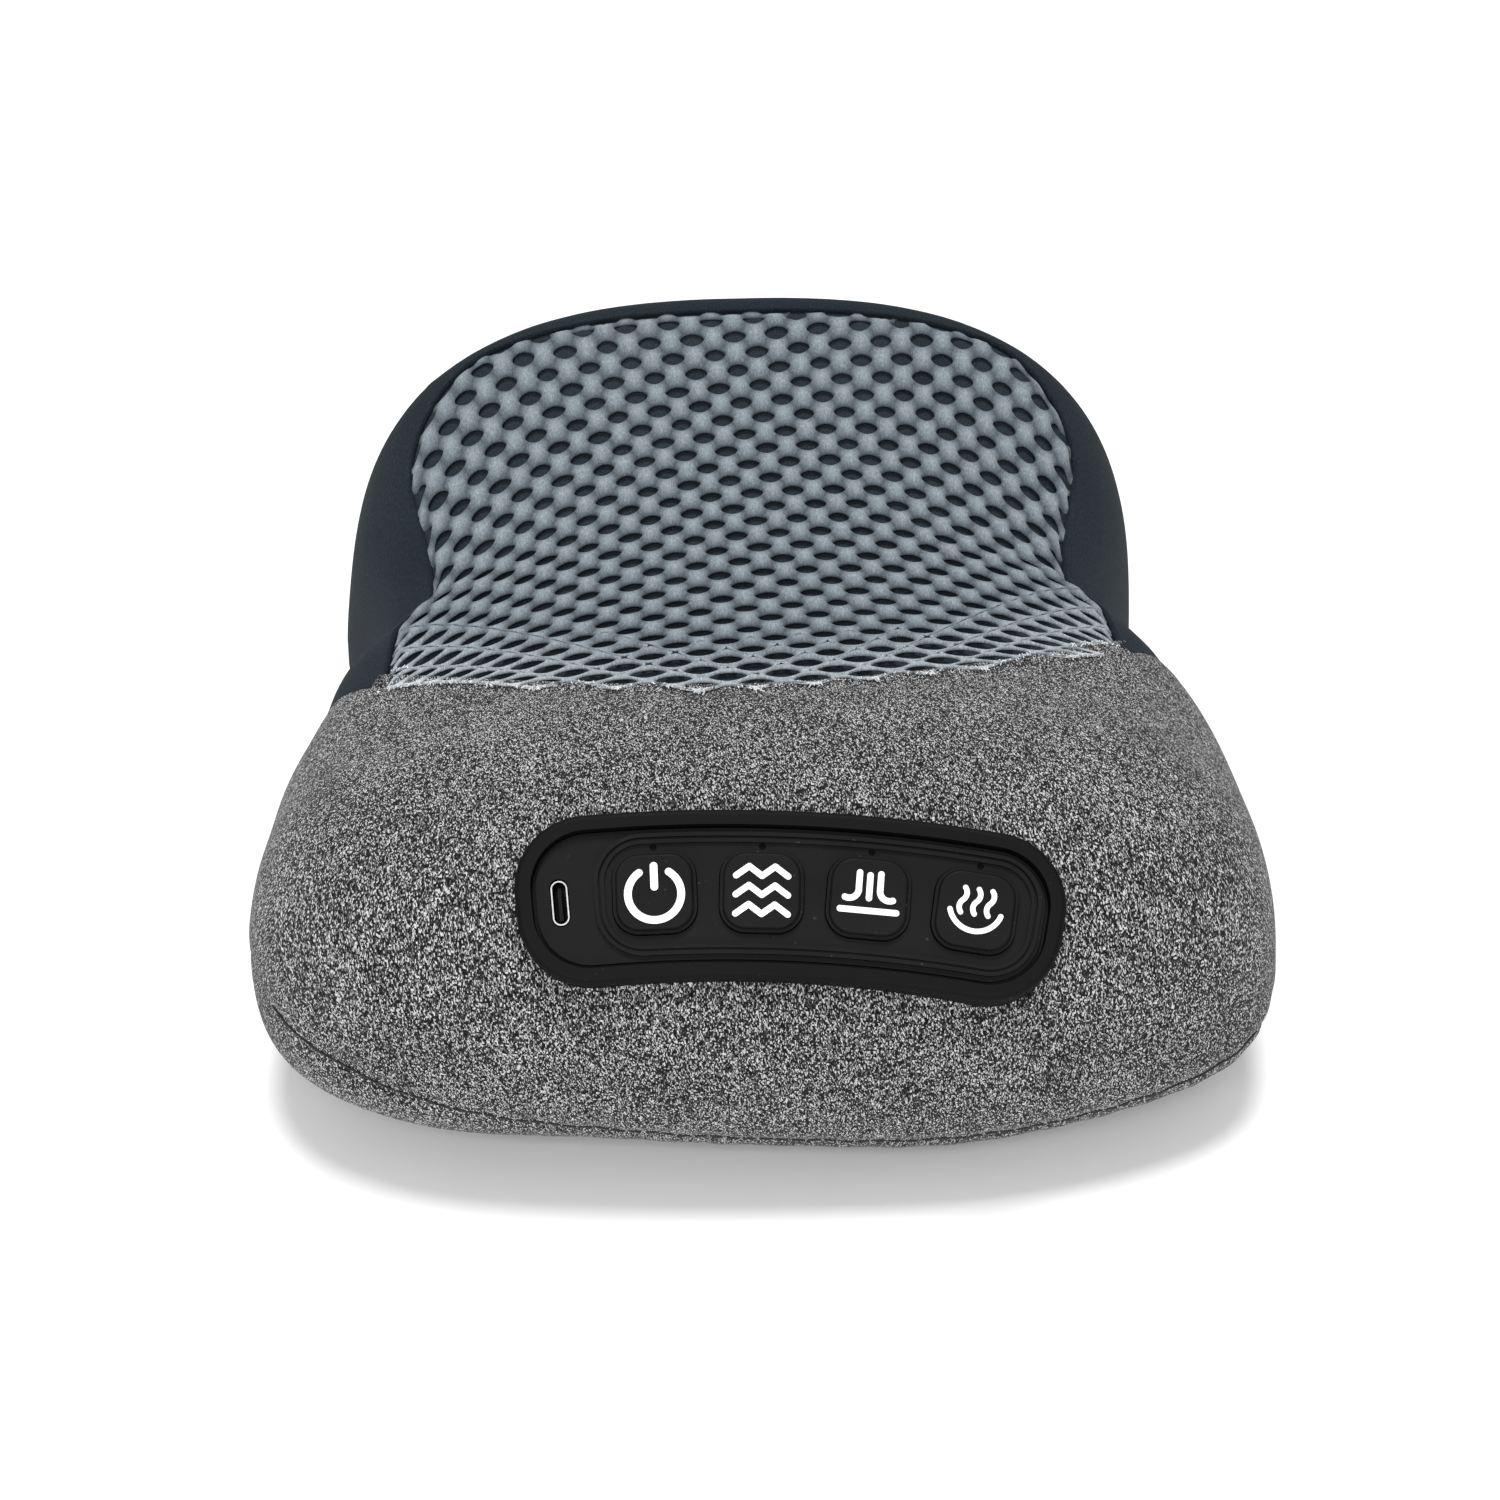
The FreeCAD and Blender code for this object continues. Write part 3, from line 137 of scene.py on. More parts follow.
def crown(y):
    base = equator(y)
    front = base + (CREST_Z - base) * quarter((CREST_Y - y) / (CREST_Y - FRONT_Y), FRONT_NOSE_POWER)
    rise = SUMMIT_Z - CREST_Z
    run = SUMMIT_Y - CREST_Y
    ramp = CREST_Z + rise * (np.clip(y - CREST_Y, 0, run) / run) ** RAMP_POWER
    ramp = ramp + RAMP_POWER * rise / run * np.clip(y - SUMMIT_Y, 0, None)
    rear = base + (ramp - base) * quarter((y - SUMMIT_Y) / (BACK_Y - SUMMIT_Y), BACK_NOSE_POWER)
    return np.where(y < CREST_Y, front, rear)


def half_width(y):
    front = LOBE_HALF_WIDTH * quarter((LOBE_Y - y) / (LOBE_Y - FRONT_Y), FRONT_PLAN_POWER)
    pinch = np.clip((y - LOBE_Y) / (WAIST_Y - LOBE_Y), 0, 1) ** WAIST_POWER
    middle = LOBE_HALF_WIDTH - (LOBE_HALF_WIDTH - WAIST_HALF_WIDTH) * pinch
    shoulder = smooth(WAIST_HALF_WIDTH, SHOULDER_HALF_WIDTH, (y - WAIST_Y) / (SHOULDER_Y - WAIST_Y))
    back = SHOULDER_HALF_WIDTH * quarter((y - SHOULDER_Y) / (BACK_Y - SHOULDER_Y), BACK_PLAN_POWER)
    rear = np.where(y < SHOULDER_Y, shoulder, back)
    return np.where(y < LOBE_Y, front, np.where(y < WAIST_Y, middle, rear))


def keel(y):
    front = (LOBE_Y - y) / (LOBE_Y - FRONT_Y)
    back = (y - SHOULDER_Y) / (BACK_Y - SHOULDER_Y)
    s = np.clip(np.maximum(front, back), 0.0, 1.0)
    return equator(y) * (1 - (1 - s ** 4) ** (1 / 2.2))


def powers(y):
    blend = smooth(0, 1, (y - LOBE_Y) / (SHOULDER_Y - LOBE_Y))
    across = TOP_POWERS_FRONT[0] + (TOP_POWERS_REAR[0] - TOP_POWERS_FRONT[0]) * blend
    upward = TOP_POWERS_FRONT[1] + (TOP_POWERS_REAR[1] - TOP_POWERS_FRONT[1]) * blend
    return across, upward


def top_z(x, y):
    """Height of the upper surface over (x, y)."""
    across, upward = powers(y)
    share = np.clip(np.abs(x) / np.maximum(half_width(y), 1e-6), 0, 1)
    return equator(y) + (crown(y) - equator(y)) * (1 - share ** across) ** (1 / upward)


def ring(y, angle):
    """Points of the cross-section at y, at angles from +X over the top."""
    across, upward = powers(y)
    c = np.cos(angle)
    s = np.sin(angle)
    over = s >= 0
    side = np.where(over, 2 / across, 2 / BELLY_POWER)
    x = half_width(y) * np.sign(c) * np.abs(c) ** side
    above = equator(y) + (crown(y) - equator(y)) * np.abs(s) ** (2 / upward)
    below = equator(y) - (equator(y) - keel(y)) * np.abs(s) ** (2 / BELLY_POWER)
    return x, np.where(over, above, below)


# ---- Panel coordinates ----
def panel_axes():
    right = np.array([1.0, 0.0, 0.0])
    up = np.array([0.0, math.sin(PANEL_ELEVATION), math.cos(PANEL_ELEVATION)])
    across = right * math.cos(PANEL_TURN) + up * math.sin(PANEL_TURN)
    along = up * math.cos(PANEL_TURN) - right * math.sin(PANEL_TURN)
    return across, along, np.cross(across, along)


def panel_distance(points):
    """Signed distance outside the panel's outline, and height out of its plane."""
    across, along, out = panel_axes()
    local = points - PANEL_CENTRE
    x = local @ across
    y = local @ along
    w = local @ out
    s = ARCH_RADIUS * np.arctan2(x, ARCH_RADIUS + y)
    v = np.hypot(x, ARCH_RADIUS + y) - ARCH_RADIUS
    qs = np.abs(s) - (PANEL_HALF_LENGTH - PANEL_CORNER)
    qv = np.abs(v) - (PANEL_HALF_HEIGHT - PANEL_CORNER)
    outside = np.hypot(np.maximum(qs, 0), np.maximum(qv, 0))
    inside = np.minimum(np.maximum(qs, qv), 0)
    distance = outside + inside - PANEL_CORNER
    return np.where(np.abs(w) < 40, distance, 100.0), w


def net_side_distance(points):
    """Signed distance, in plan, outside the net's sides and back."""
    y = points[:, 1]
    side = np.minimum(half_width(y) - NET_MARGIN, NET_HALF_WIDTH)
    qx = np.abs(points[:, 0]) - (side - NET_CORNER)
    qy = y - (NET_BACK_Y - NET_CORNER)
    inner = np.minimum(np.maximum(qx, qy), 0)
    return np.hypot(np.maximum(qx, 0), np.maximum(qy, 0)) + inner - NET_CORNER


def sew_distance(points):
    """Distance in plan outside the cylinder on which the two covers are sewn together."""
    return np.hypot(points[:, 0] - SEW_CENTRE[0], points[:, 1] - SEW_CENTRE[1]) - SEW_RADIUS


def net_distance(points):
    """Signed distance outside the net's whole outline; large on the underside."""
    distance = np.maximum(sew_distance(points), net_side_distance(points))
    return np.where(points[:, 2] > equator(points[:, 1]), distance, 60.0)


def seam_height(x):
    """Height of the stitched seam round the foot of the front lobe."""
    return 14.0 + 11.0 * (x / 92.0) ** 2 - 0.06 * x


# ---- Mesh helpers ----
def new_object(name, mesh, material=None):
    obj = bpy.data.objects.new(name, mesh)
    bpy.context.scene.collection.objects.link(obj)
    if material is not None:
        mesh.materials.clear()
        mesh.materials.append(material)
    return obj


def mesh_from(name, points, faces):
    """A mesh from points in millimetres."""
    mesh = bpy.data.meshes.new(name)
    mesh.from_pydata([tuple(p) for p in np.asarray(points) * MM], [], faces)
    mesh.update()
    return mesh


def smooth_object(bm, name, material):
    """A smooth-shaded object from a finished bmesh, which is freed."""
    mesh = bpy.data.meshes.new(name)
    bm.to_mesh(mesh)
    bm.free()
    obj = new_object(name, mesh, material)
    shade_smooth(obj)
    return obj


def vertex_places(mesh):
    """The mesh's vertices, in millimetres."""
    places = np.zeros(len(mesh.vertices) * 3)
    mesh.vertices.foreach_get("co", places)
    return places.reshape(-1, 3) / MM


def shade_smooth(obj):
    obj.data.polygons.foreach_set("use_smooth", [True] * len(obj.data.polygons))
    obj.data.update()


def apply_modifiers(obj):
    bpy.context.view_layer.update()
    evaluated = obj.evaluated_get(bpy.context.evaluated_depsgraph_get())
    mesh = bpy.data.meshes.new_from_object(evaluated)
    obj.modifiers.clear()
    old = obj.data
    obj.data = mesh
    bpy.data.meshes.remove(old)


def cut_along(bm, value, low_side):
    """Split faces where value (a list per vertex index) changes sign, and drop one side."""
    layer = bm.verts.layers.float.new("cut")
    for vert, number in zip(bm.verts, value):
        vert[layer] = number if abs(number) > 1e-4 else 1e-4
    crossing = [e for e in bm.edges if e.verts[0][layer] * e.verts[1][layer] < 0]
    fresh = set()
    for edge in crossing:
        a, b = edge.verts
        share = a[layer] / (a[layer] - b[layer])
        _, vert = bmesh.utils.edge_split(edge, a, min(max(share, 0.02), 0.98))
        vert[layer] = 0.0
        fresh.add(vert)
    for face in list({f for v in fresh for f in v.link_faces}):
        ends = [v for v in face.verts if v in fresh]
        if len(ends) == 2 and not any(ends[1] in e.verts for e in ends[0].link_edges):
            bmesh.utils.face_split(face, ends[0], ends[1])
    drop = []
    for face in bm.faces:
        total = sum(v[layer] for v in face.verts)
        if (total < 0) == low_side:
            drop.append(face)
    bmesh.ops.delete(bm, geom=drop, context="FACES")
    bm.verts.layers.float.remove(layer)


def piece_from(base, name, material, cuts):
    """A copy of the base surface trimmed by implicit outlines: (function, keep_negative) pairs."""
    bm = bmesh.new()
    bm.from_mesh(base.data)
    for outline, keep_negative in cuts:
        bm.verts.index_update()
        places = np.array([v.co[:] for v in bm.verts]) / MM
        cut_along(bm, outline(places), low_side=not keep_negative)
    return smooth_object(bm, name, material)


def thicken(obj, thickness):
    solid = obj.modifiers.new("thickness", "SOLIDIFY")
    solid.thickness = thickness * MM
    solid.offset = -1.0
    solid.use_even_offset = False
    apply_modifiers(obj)
    shade_smooth(obj)


# ---- Materials ----
class Recipe:
    """A node material being put together: one Principled shader and helpers that wire into it."""

    def __init__(self, name):
        self.material = bpy.data.materials.new(name)
        self.material.use_nodes = True
        self.nodes = self.material.node_tree.nodes
        self.links = self.material.node_tree.links
        self.shader = self.nodes["Principled BSDF"]
        self.height = None

    def add(self, kind, **values):
        node = self.nodes.new(kind)
        for key, value in values.items():
            if hasattr(node, key):
                setattr(node, key, value)
            else:
                node.inputs[key.replace("_", " ")].default_value = value
        return node

    def coordinates(self, source="Object", scale=(1, 1, 1)):
        place = self.add("ShaderNodeTexCoord")
        mapping = self.add("ShaderNodeMapping")
        mapping.inputs["Scale"].default_value = scale
        self.links.new(place.outputs[source], mapping.inputs["Vector"])
        return mapping.outputs["Vector"]

    def noise(self, vector, scale, detail=2.0, roughness=0.5):
        node = self.add("ShaderNodeTexNoise", Scale=scale, Detail=detail, Roughness=roughness)
        self.links.new(vector, node.inputs["Vector"])
        return node.outputs["Fac"]

    def wave(self, vector, scale, distortion=0.0, direction="X"):
        node = self.add("ShaderNodeTexWave", bands_direction=direction, Scale=scale, Distortion=distortion)
        self.links.new(vector, node.inputs["Vector"])
        return node.outputs["Fac"]

    def voronoi(self, vector, scale):
        node = self.add("ShaderNodeTexVoronoi", Scale=scale)
        self.links.new(vector, node.inputs["Vector"])
        return node.outputs["Distance"]

    def ramp(self, factor, stops, interpolation="LINEAR"):
        node = self.add("ShaderNodeValToRGB")
        node.color_ramp.interpolation = interpolation
        while len(node.color_ramp.elements) < len(stops):
            node.color_ramp.elements.new(0.5)
        for element, (position, colour) in zip(node.color_ramp.elements, stops):
            element.position = position
            element.color = (*colour, 1.0) if len(colour) == 3 else colour
        self.links.new(factor, node.inputs["Fac"])
        return node.outputs["Color"]

    def mix(self, factor, a, b, blend="MIX"):
        node = self.add("ShaderNodeMix", data_type="RGBA", blend_type=blend)
        for socket, value in ((node.inputs["Factor"], factor), (node.inputs[6], a), (node.inputs[7], b)):
            if isinstance(value, bpy.types.NodeSocket):
                self.links.new(value, socket)
            else:
                socket.default_value = value if isinstance(value, float) else (*value, 1.0)
        return node.outputs[2]

    def stitches(self, vector, across, along, wander, amount):
        """A random value per stitch on a slightly wandering grid, sizes in the vector's units."""
        shift = self.add("ShaderNodeCombineXYZ")
        self.links.new(self.math("MULTIPLY", wander, amount), shift.inputs["X"])
        self.links.new(self.math("MULTIPLY", wander, -amount), shift.inputs["Y"])
        moved = self.add("ShaderNodeVectorMath", operation="ADD")
        self.links.new(vector, moved.inputs[0])
        self.links.new(shift.outputs["Vector"], moved.inputs[1])
        snapped = self.add("ShaderNodeVectorMath", operation="SNAP")
        self.links.new(moved.outputs["Vector"], snapped.inputs[0])
        snapped.inputs[1].default_value = (across, along, 1000.0)
        value = self.add("ShaderNodeTexWhiteNoise", noise_dimensions="2D")
        self.links.new(snapped.outputs["Vector"], value.inputs["Vector"])
        return value.outputs["Value"]

    def math(self, operation, a, b=0.0):
        node = self.add("ShaderNodeMath", operation=operation)
        for socket, value in ((node.inputs[0], a), (node.inputs[1], b)):
            if isinstance(value, bpy.types.NodeSocket):
                self.links.new(value, socket)
            else:
                socket.default_value = value
        return node.outputs[0]

    def colour(self, socket):
        self.links.new(socket, self.shader.inputs["Base Color"])

    def roughness(self, factor, low, high):
        node = self.add("ShaderNodeMapRange")
        node.inputs["To Min"].default_value = low
        node.inputs["To Max"].default_value = high
        self.links.new(factor, node.inputs["Value"])
        self.links.new(node.outputs["Result"], self.shader.inputs["Roughness"])

    def bump(self, factor, strength, depth):
        node = self.add("ShaderNodeBump", Strength=strength, Distance=depth * MM)
        self.links.new(factor, node.inputs["Height"])
        if self.height is not None:
            self.links.new(self.height, node.inputs["Normal"])
        self.height = node.outputs["Normal"]
        self.links.new(self.height, self.shader.inputs["Normal"])

    def set(self, **values):
        for key, value in values.items():
            self.shader.inputs[key.replace("_", " ")].default_value = value
        return self


def knit_material():
    """Salt-and-pepper heather jersey: marled yarn, so each stitch is a light or a dark fleck."""
    r = Recipe("heather_knit")
    mm = r.coordinates("UV", (1000, 1000, 1000))
    wander = r.noise(mm, 0.8, 2.0, 0.6)
    stitch = r.stitches(mm, 0.20, 0.34, wander, 0.7)
    second = r.stitches(mm, 0.17, 0.46, wander, 1.6)
    soft = r.noise(r.coordinates("UV", (1000, 700, 1000)), 3.8, 1.0, 0.6)
    patches = r.noise(mm, 0.05, 3.0, 0.55)
    mixed = r.math("ADD", r.math("MULTIPLY", stitch, 0.52), r.math("MULTIPLY", second, 0.26))
    mixed = r.math("ADD", mixed, r.math("MULTIPLY", soft, 0.22))
    mixed = r.math("ADD", mixed, r.math("MULTIPLY", r.math("SUBTRACT", patches, 0.5), 0.12))
    colour = r.ramp(mixed, ((0.24, (0.0015, 0.0015, 0.0019)), (0.46, (0.0095, 0.0095, 0.0104)),
                            (0.59, (0.062, 0.062, 0.064)), (0.75, (0.52, 0.52, 0.52))))
    wales = r.wave(mm, 0.60, 0.6)
    rows = r.wave(mm, 0.50, 0.8, "Y")
    r.colour(colour)
    r.roughness(soft, 0.85, 1.0)
    r.bump(r.math("MULTIPLY", wales, rows), 0.35, 0.25)
    r.bump(mixed, 0.4, 0.25)
    r.set(Sheen_Weight=0.08, Sheen_Roughness=0.5, Specular_IOR_Level=0.12)
    return r.material


def slate_material():
    """Dark slate polyester jersey on the rear lobe."""
    r = Recipe("slate_fabric")
    uv = r.coordinates("UV", (1000, 1000, 1000))
    yarn = r.noise(r.coordinates("UV", (1000, 500, 1000)), 2.2, 2.0, 0.6)
    patches = r.noise(uv, 0.03, 3.0, 0.5)
    mixed = r.math("ADD", r.math("MULTIPLY", yarn, 0.75), r.math("MULTIPLY", patches, 0.25))
    r.colour(r.ramp(mixed, ((0.32, (0.0048, 0.0080, 0.0115)), (0.50, (0.0092, 0.0150, 0.0200)),
                            (0.68, (0.018, 0.026, 0.033)))))
    wales = r.wave(uv, 0.7, 0.5)
    rows = r.wave(uv, 0.6, 0.6, "Y")
    r.roughness(yarn, 0.8, 1.0)
    r.bump(r.math("MULTIPLY", wales, rows), 0.4, 0.25)
    r.bump(yarn, 0.3, 0.2)
    r.set(Sheen_Weight=0.03, Sheen_Roughness=0.5, Specular_IOR_Level=0.08)
    return r.material


def net_material():
    """Blue-grey polyester: painted highlight on the puffed nodes and painted shade on the strands between
    them, brighter where pulled tight in front.
    """
    r = Recipe("net_yarn")
    place = r.coordinates("Object", (1000, 1000, 1000))
    fibres = r.noise(r.coordinates("Object", (1900, 600, 900)), 1.5, 3.0, 0.6)
    fuzz = r.noise(place, 3.2, 2.0, 0.6)
    mixed = r.math("ADD", r.math("MULTIPLY", fibres, 0.6), r.math("MULTIPLY", fuzz, 0.4))
    tone = r.add("ShaderNodeAttribute", attribute_name="yarn_tone_and_painted_shade")
    parts = r.add("ShaderNodeSeparateColor")
    r.links.new(tone.outputs["Color"], parts.inputs["Color"])
    # The attribute's red blends the strand colour into the node colour: painted shade on the strands and
    # round the holes, painted highlight on the puffed nodes.
    node = r.ramp(mixed, ((0.30, (0.130, 0.157, 0.178)), (0.52, (0.220, 0.256, 0.282)),
                          (0.72, (0.36, 0.40, 0.43))))
    strand = r.ramp(mixed, ((0.30, (0.030, 0.040, 0.050)), (0.52, (0.058, 0.073, 0.087)),
                            (0.72, (0.12, 0.14, 0.16))))
    body = r.mix(parts.outputs["Red"], strand, node)
    tight = r.ramp(mixed, ((0.30, (0.13, 0.155, 0.17)), (0.52, (0.29, 0.325, 0.35)),
                           (0.72, (0.52, 0.56, 0.585))))
    body = r.mix(parts.outputs["Green"], body, tight)
    edge = r.ramp(mixed, ((0.30, (0.22, 0.24, 0.25)), (0.50, (0.48, 0.50, 0.52)),
                          (0.70, (0.82, 0.84, 0.85))))
    r.colour(r.mix(parts.outputs["Blue"], body, edge))
    r.roughness(fuzz, 0.6, 0.9)
    r.bump(mixed, 0.5, 0.3)
    r.set(Sheen_Weight=0.05, Sheen_Roughness=0.4, Specular_IOR_Level=0.2)
    return r.material


def fray_material():
    """The pale, broken ends of the net's yarn."""
    r = Recipe("frayed_yarn")
    fuzz = r.noise(r.coordinates("Object", (1000, 1000, 1000)), 2.5, 2.0, 0.6)
    r.colour(r.ramp(fuzz, ((0.3, (0.38, 0.40, 0.42)), (0.7, (0.86, 0.88, 0.89)))))
    r.roughness(fuzz, 0.6, 0.9)
    r.bump(fuzz, 0.4, 0.1)
    r.set(Specular_IOR_Level=0.2)
    return r.material


def grip_material():
    """Black woven cloth with rows of small silicone dots, under the pillow."""
    r = Recipe("grip_cloth")
    mm = r.coordinates("UV", (1000, 1000, 1000))
    dots = r.voronoi(r.coordinates("UV", (220, 220, 220)), 1.0)
    weave = r.noise(mm, 2.4, 2.0, 0.6)
    cloth = r.ramp(weave, ((0.35, (0.010, 0.011, 0.012)), (0.65, (0.030, 0.032, 0.034))))
    mask = r.ramp(dots, ((0.16, (1, 1, 1)), (0.20, (0, 0, 0))))
    r.colour(r.mix(mask, cloth, (0.006, 0.006, 0.006)))
    r.roughness(weave, 0.7, 0.95)
    r.bump(mask, 0.5, 0.5)
    r.bump(weave, 0.3, 0.2)
    r.set(Specular_IOR_Level=0.15)
    return r.material


def lining_material():
    r = Recipe("dark_lining")
    uv = r.coordinates("UV", (1000, 1000, 1000))
    yarn = r.noise(uv, 2.4, 2.0, 0.55)
    patches = r.noise(uv, 0.05, 2.0, 0.5)
    mixed = r.math("ADD", r.math("MULTIPLY", yarn, 0.7), r.math("MULTIPLY", patches, 0.3))
    r.colour(r.ramp(mixed, ((0.35, (0.006, 0.010, 0.014)), (0.65, (0.030, 0.040, 0.050)))))
    r.roughness(yarn, 0.7, 0.95)
    r.bump(r.wave(uv, 0.8, 0.5), 0.3, 0.2)
    r.set(Specular_IOR_Level=0.1)
    return r.material


def rubber_material(name, base, polish):
    """Matt silicone: an even, faintly dusty black with a satin skin."""
    r = Recipe(name)
    place = r.coordinates()
    grain = r.noise(place, 5200, 2.0, 0.5)
    cloud = r.noise(place, 60, 3.0, 0.6)
    dust = r.noise(place, 900, 1.0, 0.5)
    low = tuple(c * 0.75 for c in base)
    high = tuple(c * 1.35 for c in base)
    colour = r.ramp(cloud, ((0.3, low), (0.7, high)))
    specks = r.ramp(dust, ((0.74, (0, 0, 0)), (0.80, (1, 1, 1))))
    r.colour(r.mix(r.math("MULTIPLY", specks, 0.10), colour, (0.20, 0.20, 0.20)))
    r.roughness(cloud, polish, polish + 0.16)
    r.bump(grain, 0.25, 0.05)
    r.set(Specular_IOR_Level=0.10)
    return r.material


def grained_material(name, scale, low, high, rough, strength, depth, grain=None):
    """A smooth skin with a slow change of tone, and either that or a finer grain in its relief."""
    r = Recipe(name)
    place = r.coordinates()
    tone = r.noise(place, scale, 3.0, 0.6)
    r.colour(r.ramp(tone, ((0.3, low), (0.7, high))))
    r.roughness(tone, *rough)
    r.bump(tone if grain is None else r.noise(place, grain, 2.0), strength, depth)
    return r.material


def plastic_material(name, base, rough=0.5):
    """Moulded plastic with a fine spark-eroded texture and slight flow marks."""
    r = Recipe(name)
    place = r.coordinates()
    flow = r.noise(place, 35, 3.0, 0.6)
    grain = r.noise(place, 2600, 2.0, 0.6)
    low = tuple(c * 0.85 for c in base)
    high = tuple(min(c * 1.15, 1) for c in base)
    r.colour(r.ramp(flow, ((0.3, low), (0.7, high))))
    r.roughness(grain, rough - 0.08, rough + 0.12)
    r.bump(grain, 0.25, 0.06)
    return r.material


def metal_material(name, base, rough=0.3):
    """Turned or stamped metal with brushed lines and handling marks."""
    r = Recipe(name)
    place = r.coordinates("Object", (300, 300, 4000))
    lines = r.noise(place, 1.0, 3.0, 0.6)
    smears = r.noise(r.coordinates(), 120, 3.0, 0.6)
    r.colour(r.ramp(smears, ((0.3, tuple(c * 0.82 for c in base)), (0.7, base))))
    r.roughness(lines, rough, rough + 0.2)
    r.bump(lines, 0.15, 0.03)
    r.set(Metallic=1.0)
    return r.material


def inlet_material(inlet):
    """Stamped steel shell: bright on its rolled lip, with painted shade making it near black down in its
    mouth.
    """
    r = Recipe("inlet_steel")
    _, _, out = panel_axes()
    top = max(v.co.dot(Vector(out)) for v in inlet.data.vertices)
    place = r.coordinates()
    level = r.add("ShaderNodeVectorMath", operation="DOT_PRODUCT")
    level.inputs[1].default_value = tuple(out)
    r.links.new(place, level.inputs[0])
    # Painted shade: the steel's colour turns near black from about 0.12 to 0.3 mm below the lip. The noise
    # roughens the edge of that painted shade and also sets the roughness and relief.
    depth = r.math("MULTIPLY", r.math("SUBTRACT", top, level.outputs["Value"]), 1000.0)
    grime_and_shade_jitter = r.noise(place, 1500, 2.0, 0.5)
    painted_mouth_shade = r.math("ADD", depth, r.math("MULTIPLY", r.math("SUBTRACT", grime_and_shade_jitter, 0.5), 0.2))
    r.colour(r.ramp(painted_mouth_shade, ((0.12, (0.62, 0.62, 0.63)), (0.30, (0.012, 0.012, 0.012)))))
    r.roughness(grime_and_shade_jitter, 0.25, 0.45)
    r.bump(grime_and_shade_jitter, 0.1, 0.03)
    r.set(Metallic=0.9)
    return r.material


def board_material():
    r = Recipe("circuit_board")
    place = r.coordinates()
    tracks = r.wave(place, 160, 3.0, "X")
    cells = r.voronoi(place, 420)
    mask, copper = (0.006, 0.075, 0.030), (0.012, 0.13, 0.055)
    green = r.ramp(tracks, ((0.42, mask), (0.50, copper), (0.58, mask)))
    pads = r.ramp(cells, ((0.10, (1, 1, 1)), (0.16, (0, 0, 0))))
    r.colour(r.mix(pads, green, (0.55, 0.50, 0.36)))
    r.roughness(tracks, 0.3, 0.45)
    r.bump(tracks, 0.2, 0.05)
    return r.material


def foam_material():
    r = Recipe("grey_foam")
    place = r.coordinates()
    pores = r.voronoi(place, 1100)
    cloud = r.noise(place, 40, 2.0)
    shade = r.math("ADD", r.math("MULTIPLY", pores, 0.6), r.math("MULTIPLY", cloud, 0.4))
    r.colour(r.ramp(shade, ((0.2, (0.035, 0.035, 0.037)), (0.7, (0.12, 0.12, 0.125)))))
    r.roughness(pores, 0.85, 1.0)
    r.bump(pores, 0.8, 0.5)
    return r.material


def film_material():
    r = Recipe("heating_film")
    place = r.coordinates()
    trace = r.wave(place, 45, 1.5, "X")
    amber, copper = (0.42, 0.17, 0.03), (0.62, 0.34, 0.16)
    r.colour(r.ramp(trace, ((0.44, amber), (0.50, copper), (0.56, amber))))
    r.roughness(trace, 0.22, 0.4)
    r.bump(trace, 0.2, 0.05)
    return r.material


def lead_material():
    r = Recipe("lead_insulation")
    place = r.coordinates()
    rub = r.noise(place, 500, 2.0)
    r.colour(r.ramp(rub, ((0.35, (0.30, 0.015, 0.012)), (0.65, (0.46, 0.03, 0.025)))))
    r.roughness(rub, 0.35, 0.55)
    r.bump(rub, 0.1, 0.05)
    return r.material


def thread_material(name, base):
    r = Recipe(name)
    place = r.coordinates()
    twist = r.wave(place, 700, 2.0, "DIAGONAL")
    r.colour(r.ramp(twist, ((0.2, tuple(c * 0.6 for c in base)), (0.8, base))))
    r.roughness(twist, 0.6, 0.85)
    r.bump(twist, 0.4, 0.1)
    return r.material


def floor_material():
    r = Recipe("studio_floor")
    place = r.coordinates()
    haze = r.noise(place, 3, 2.0)
    r.colour(r.ramp(haze, ((0.3, (0.955, 0.955, 0.955)), (0.7, (0.965, 0.965, 0.965)))))
    r.set(Roughness=0.9, Specular_IOR_Level=0.1)
    return r.material


# ---- Covers ----
RINGS = 230
AROUND = 288
CLOTH_SPACING = 0.006      # metres between the simulated cloth's vertices
CLOTH_FRAMES = 20
CLOTH_REACH = 1.3          # the pressure moves the cover by no more than this, in mm
FOAM_ROOM = 4.4            # depth of the foam under the outside of the covers
FOAM_ROOM_UNDER_NET = 3.4


def base_surface():
    """The whole outer skin as one closed grid, with cloth coordinates in metres."""
    phases = np.linspace(-1, 1, RINGS)[1:-1]
    y = (FRONT_Y + BACK_Y) / 2 + (BACK_Y - FRONT_Y) / 2 * np.sin(np.pi * phases / 2)
    angle = np.linspace(0, 2 * np.pi, AROUND, endpoint=False)
    yy, aa = np.meshgrid(y, angle, indexing="ij")
    x, z = ring(yy.ravel(), aa.ravel())
    points = np.column_stack([x, yy.ravel(), z])
    tips = np.array([[0, tip, float(equator(np.array(tip)))] for tip in (FRONT_Y, BACK_Y)])
    points = np.vstack([points, tips])
    rows = len(y)
    faces = []
    for i in range(rows - 1):
        for j in range(AROUND):
            k = (j + 1) % AROUND
            faces.append((i * AROUND + j, (i + 1) * AROUND + j, (i + 1) * AROUND + k, i * AROUND + k))
    front, back = rows * AROUND, rows * AROUND + 1
    for j in range(AROUND):
        k = (j + 1) % AROUND
        faces.append((front, j, k))
        faces.append((back, (rows - 1) * AROUND + k, (rows - 1) * AROUND + j))
    points = dress(points)
    return new_object("skin_template", mesh_from("skin_template", points, faces))


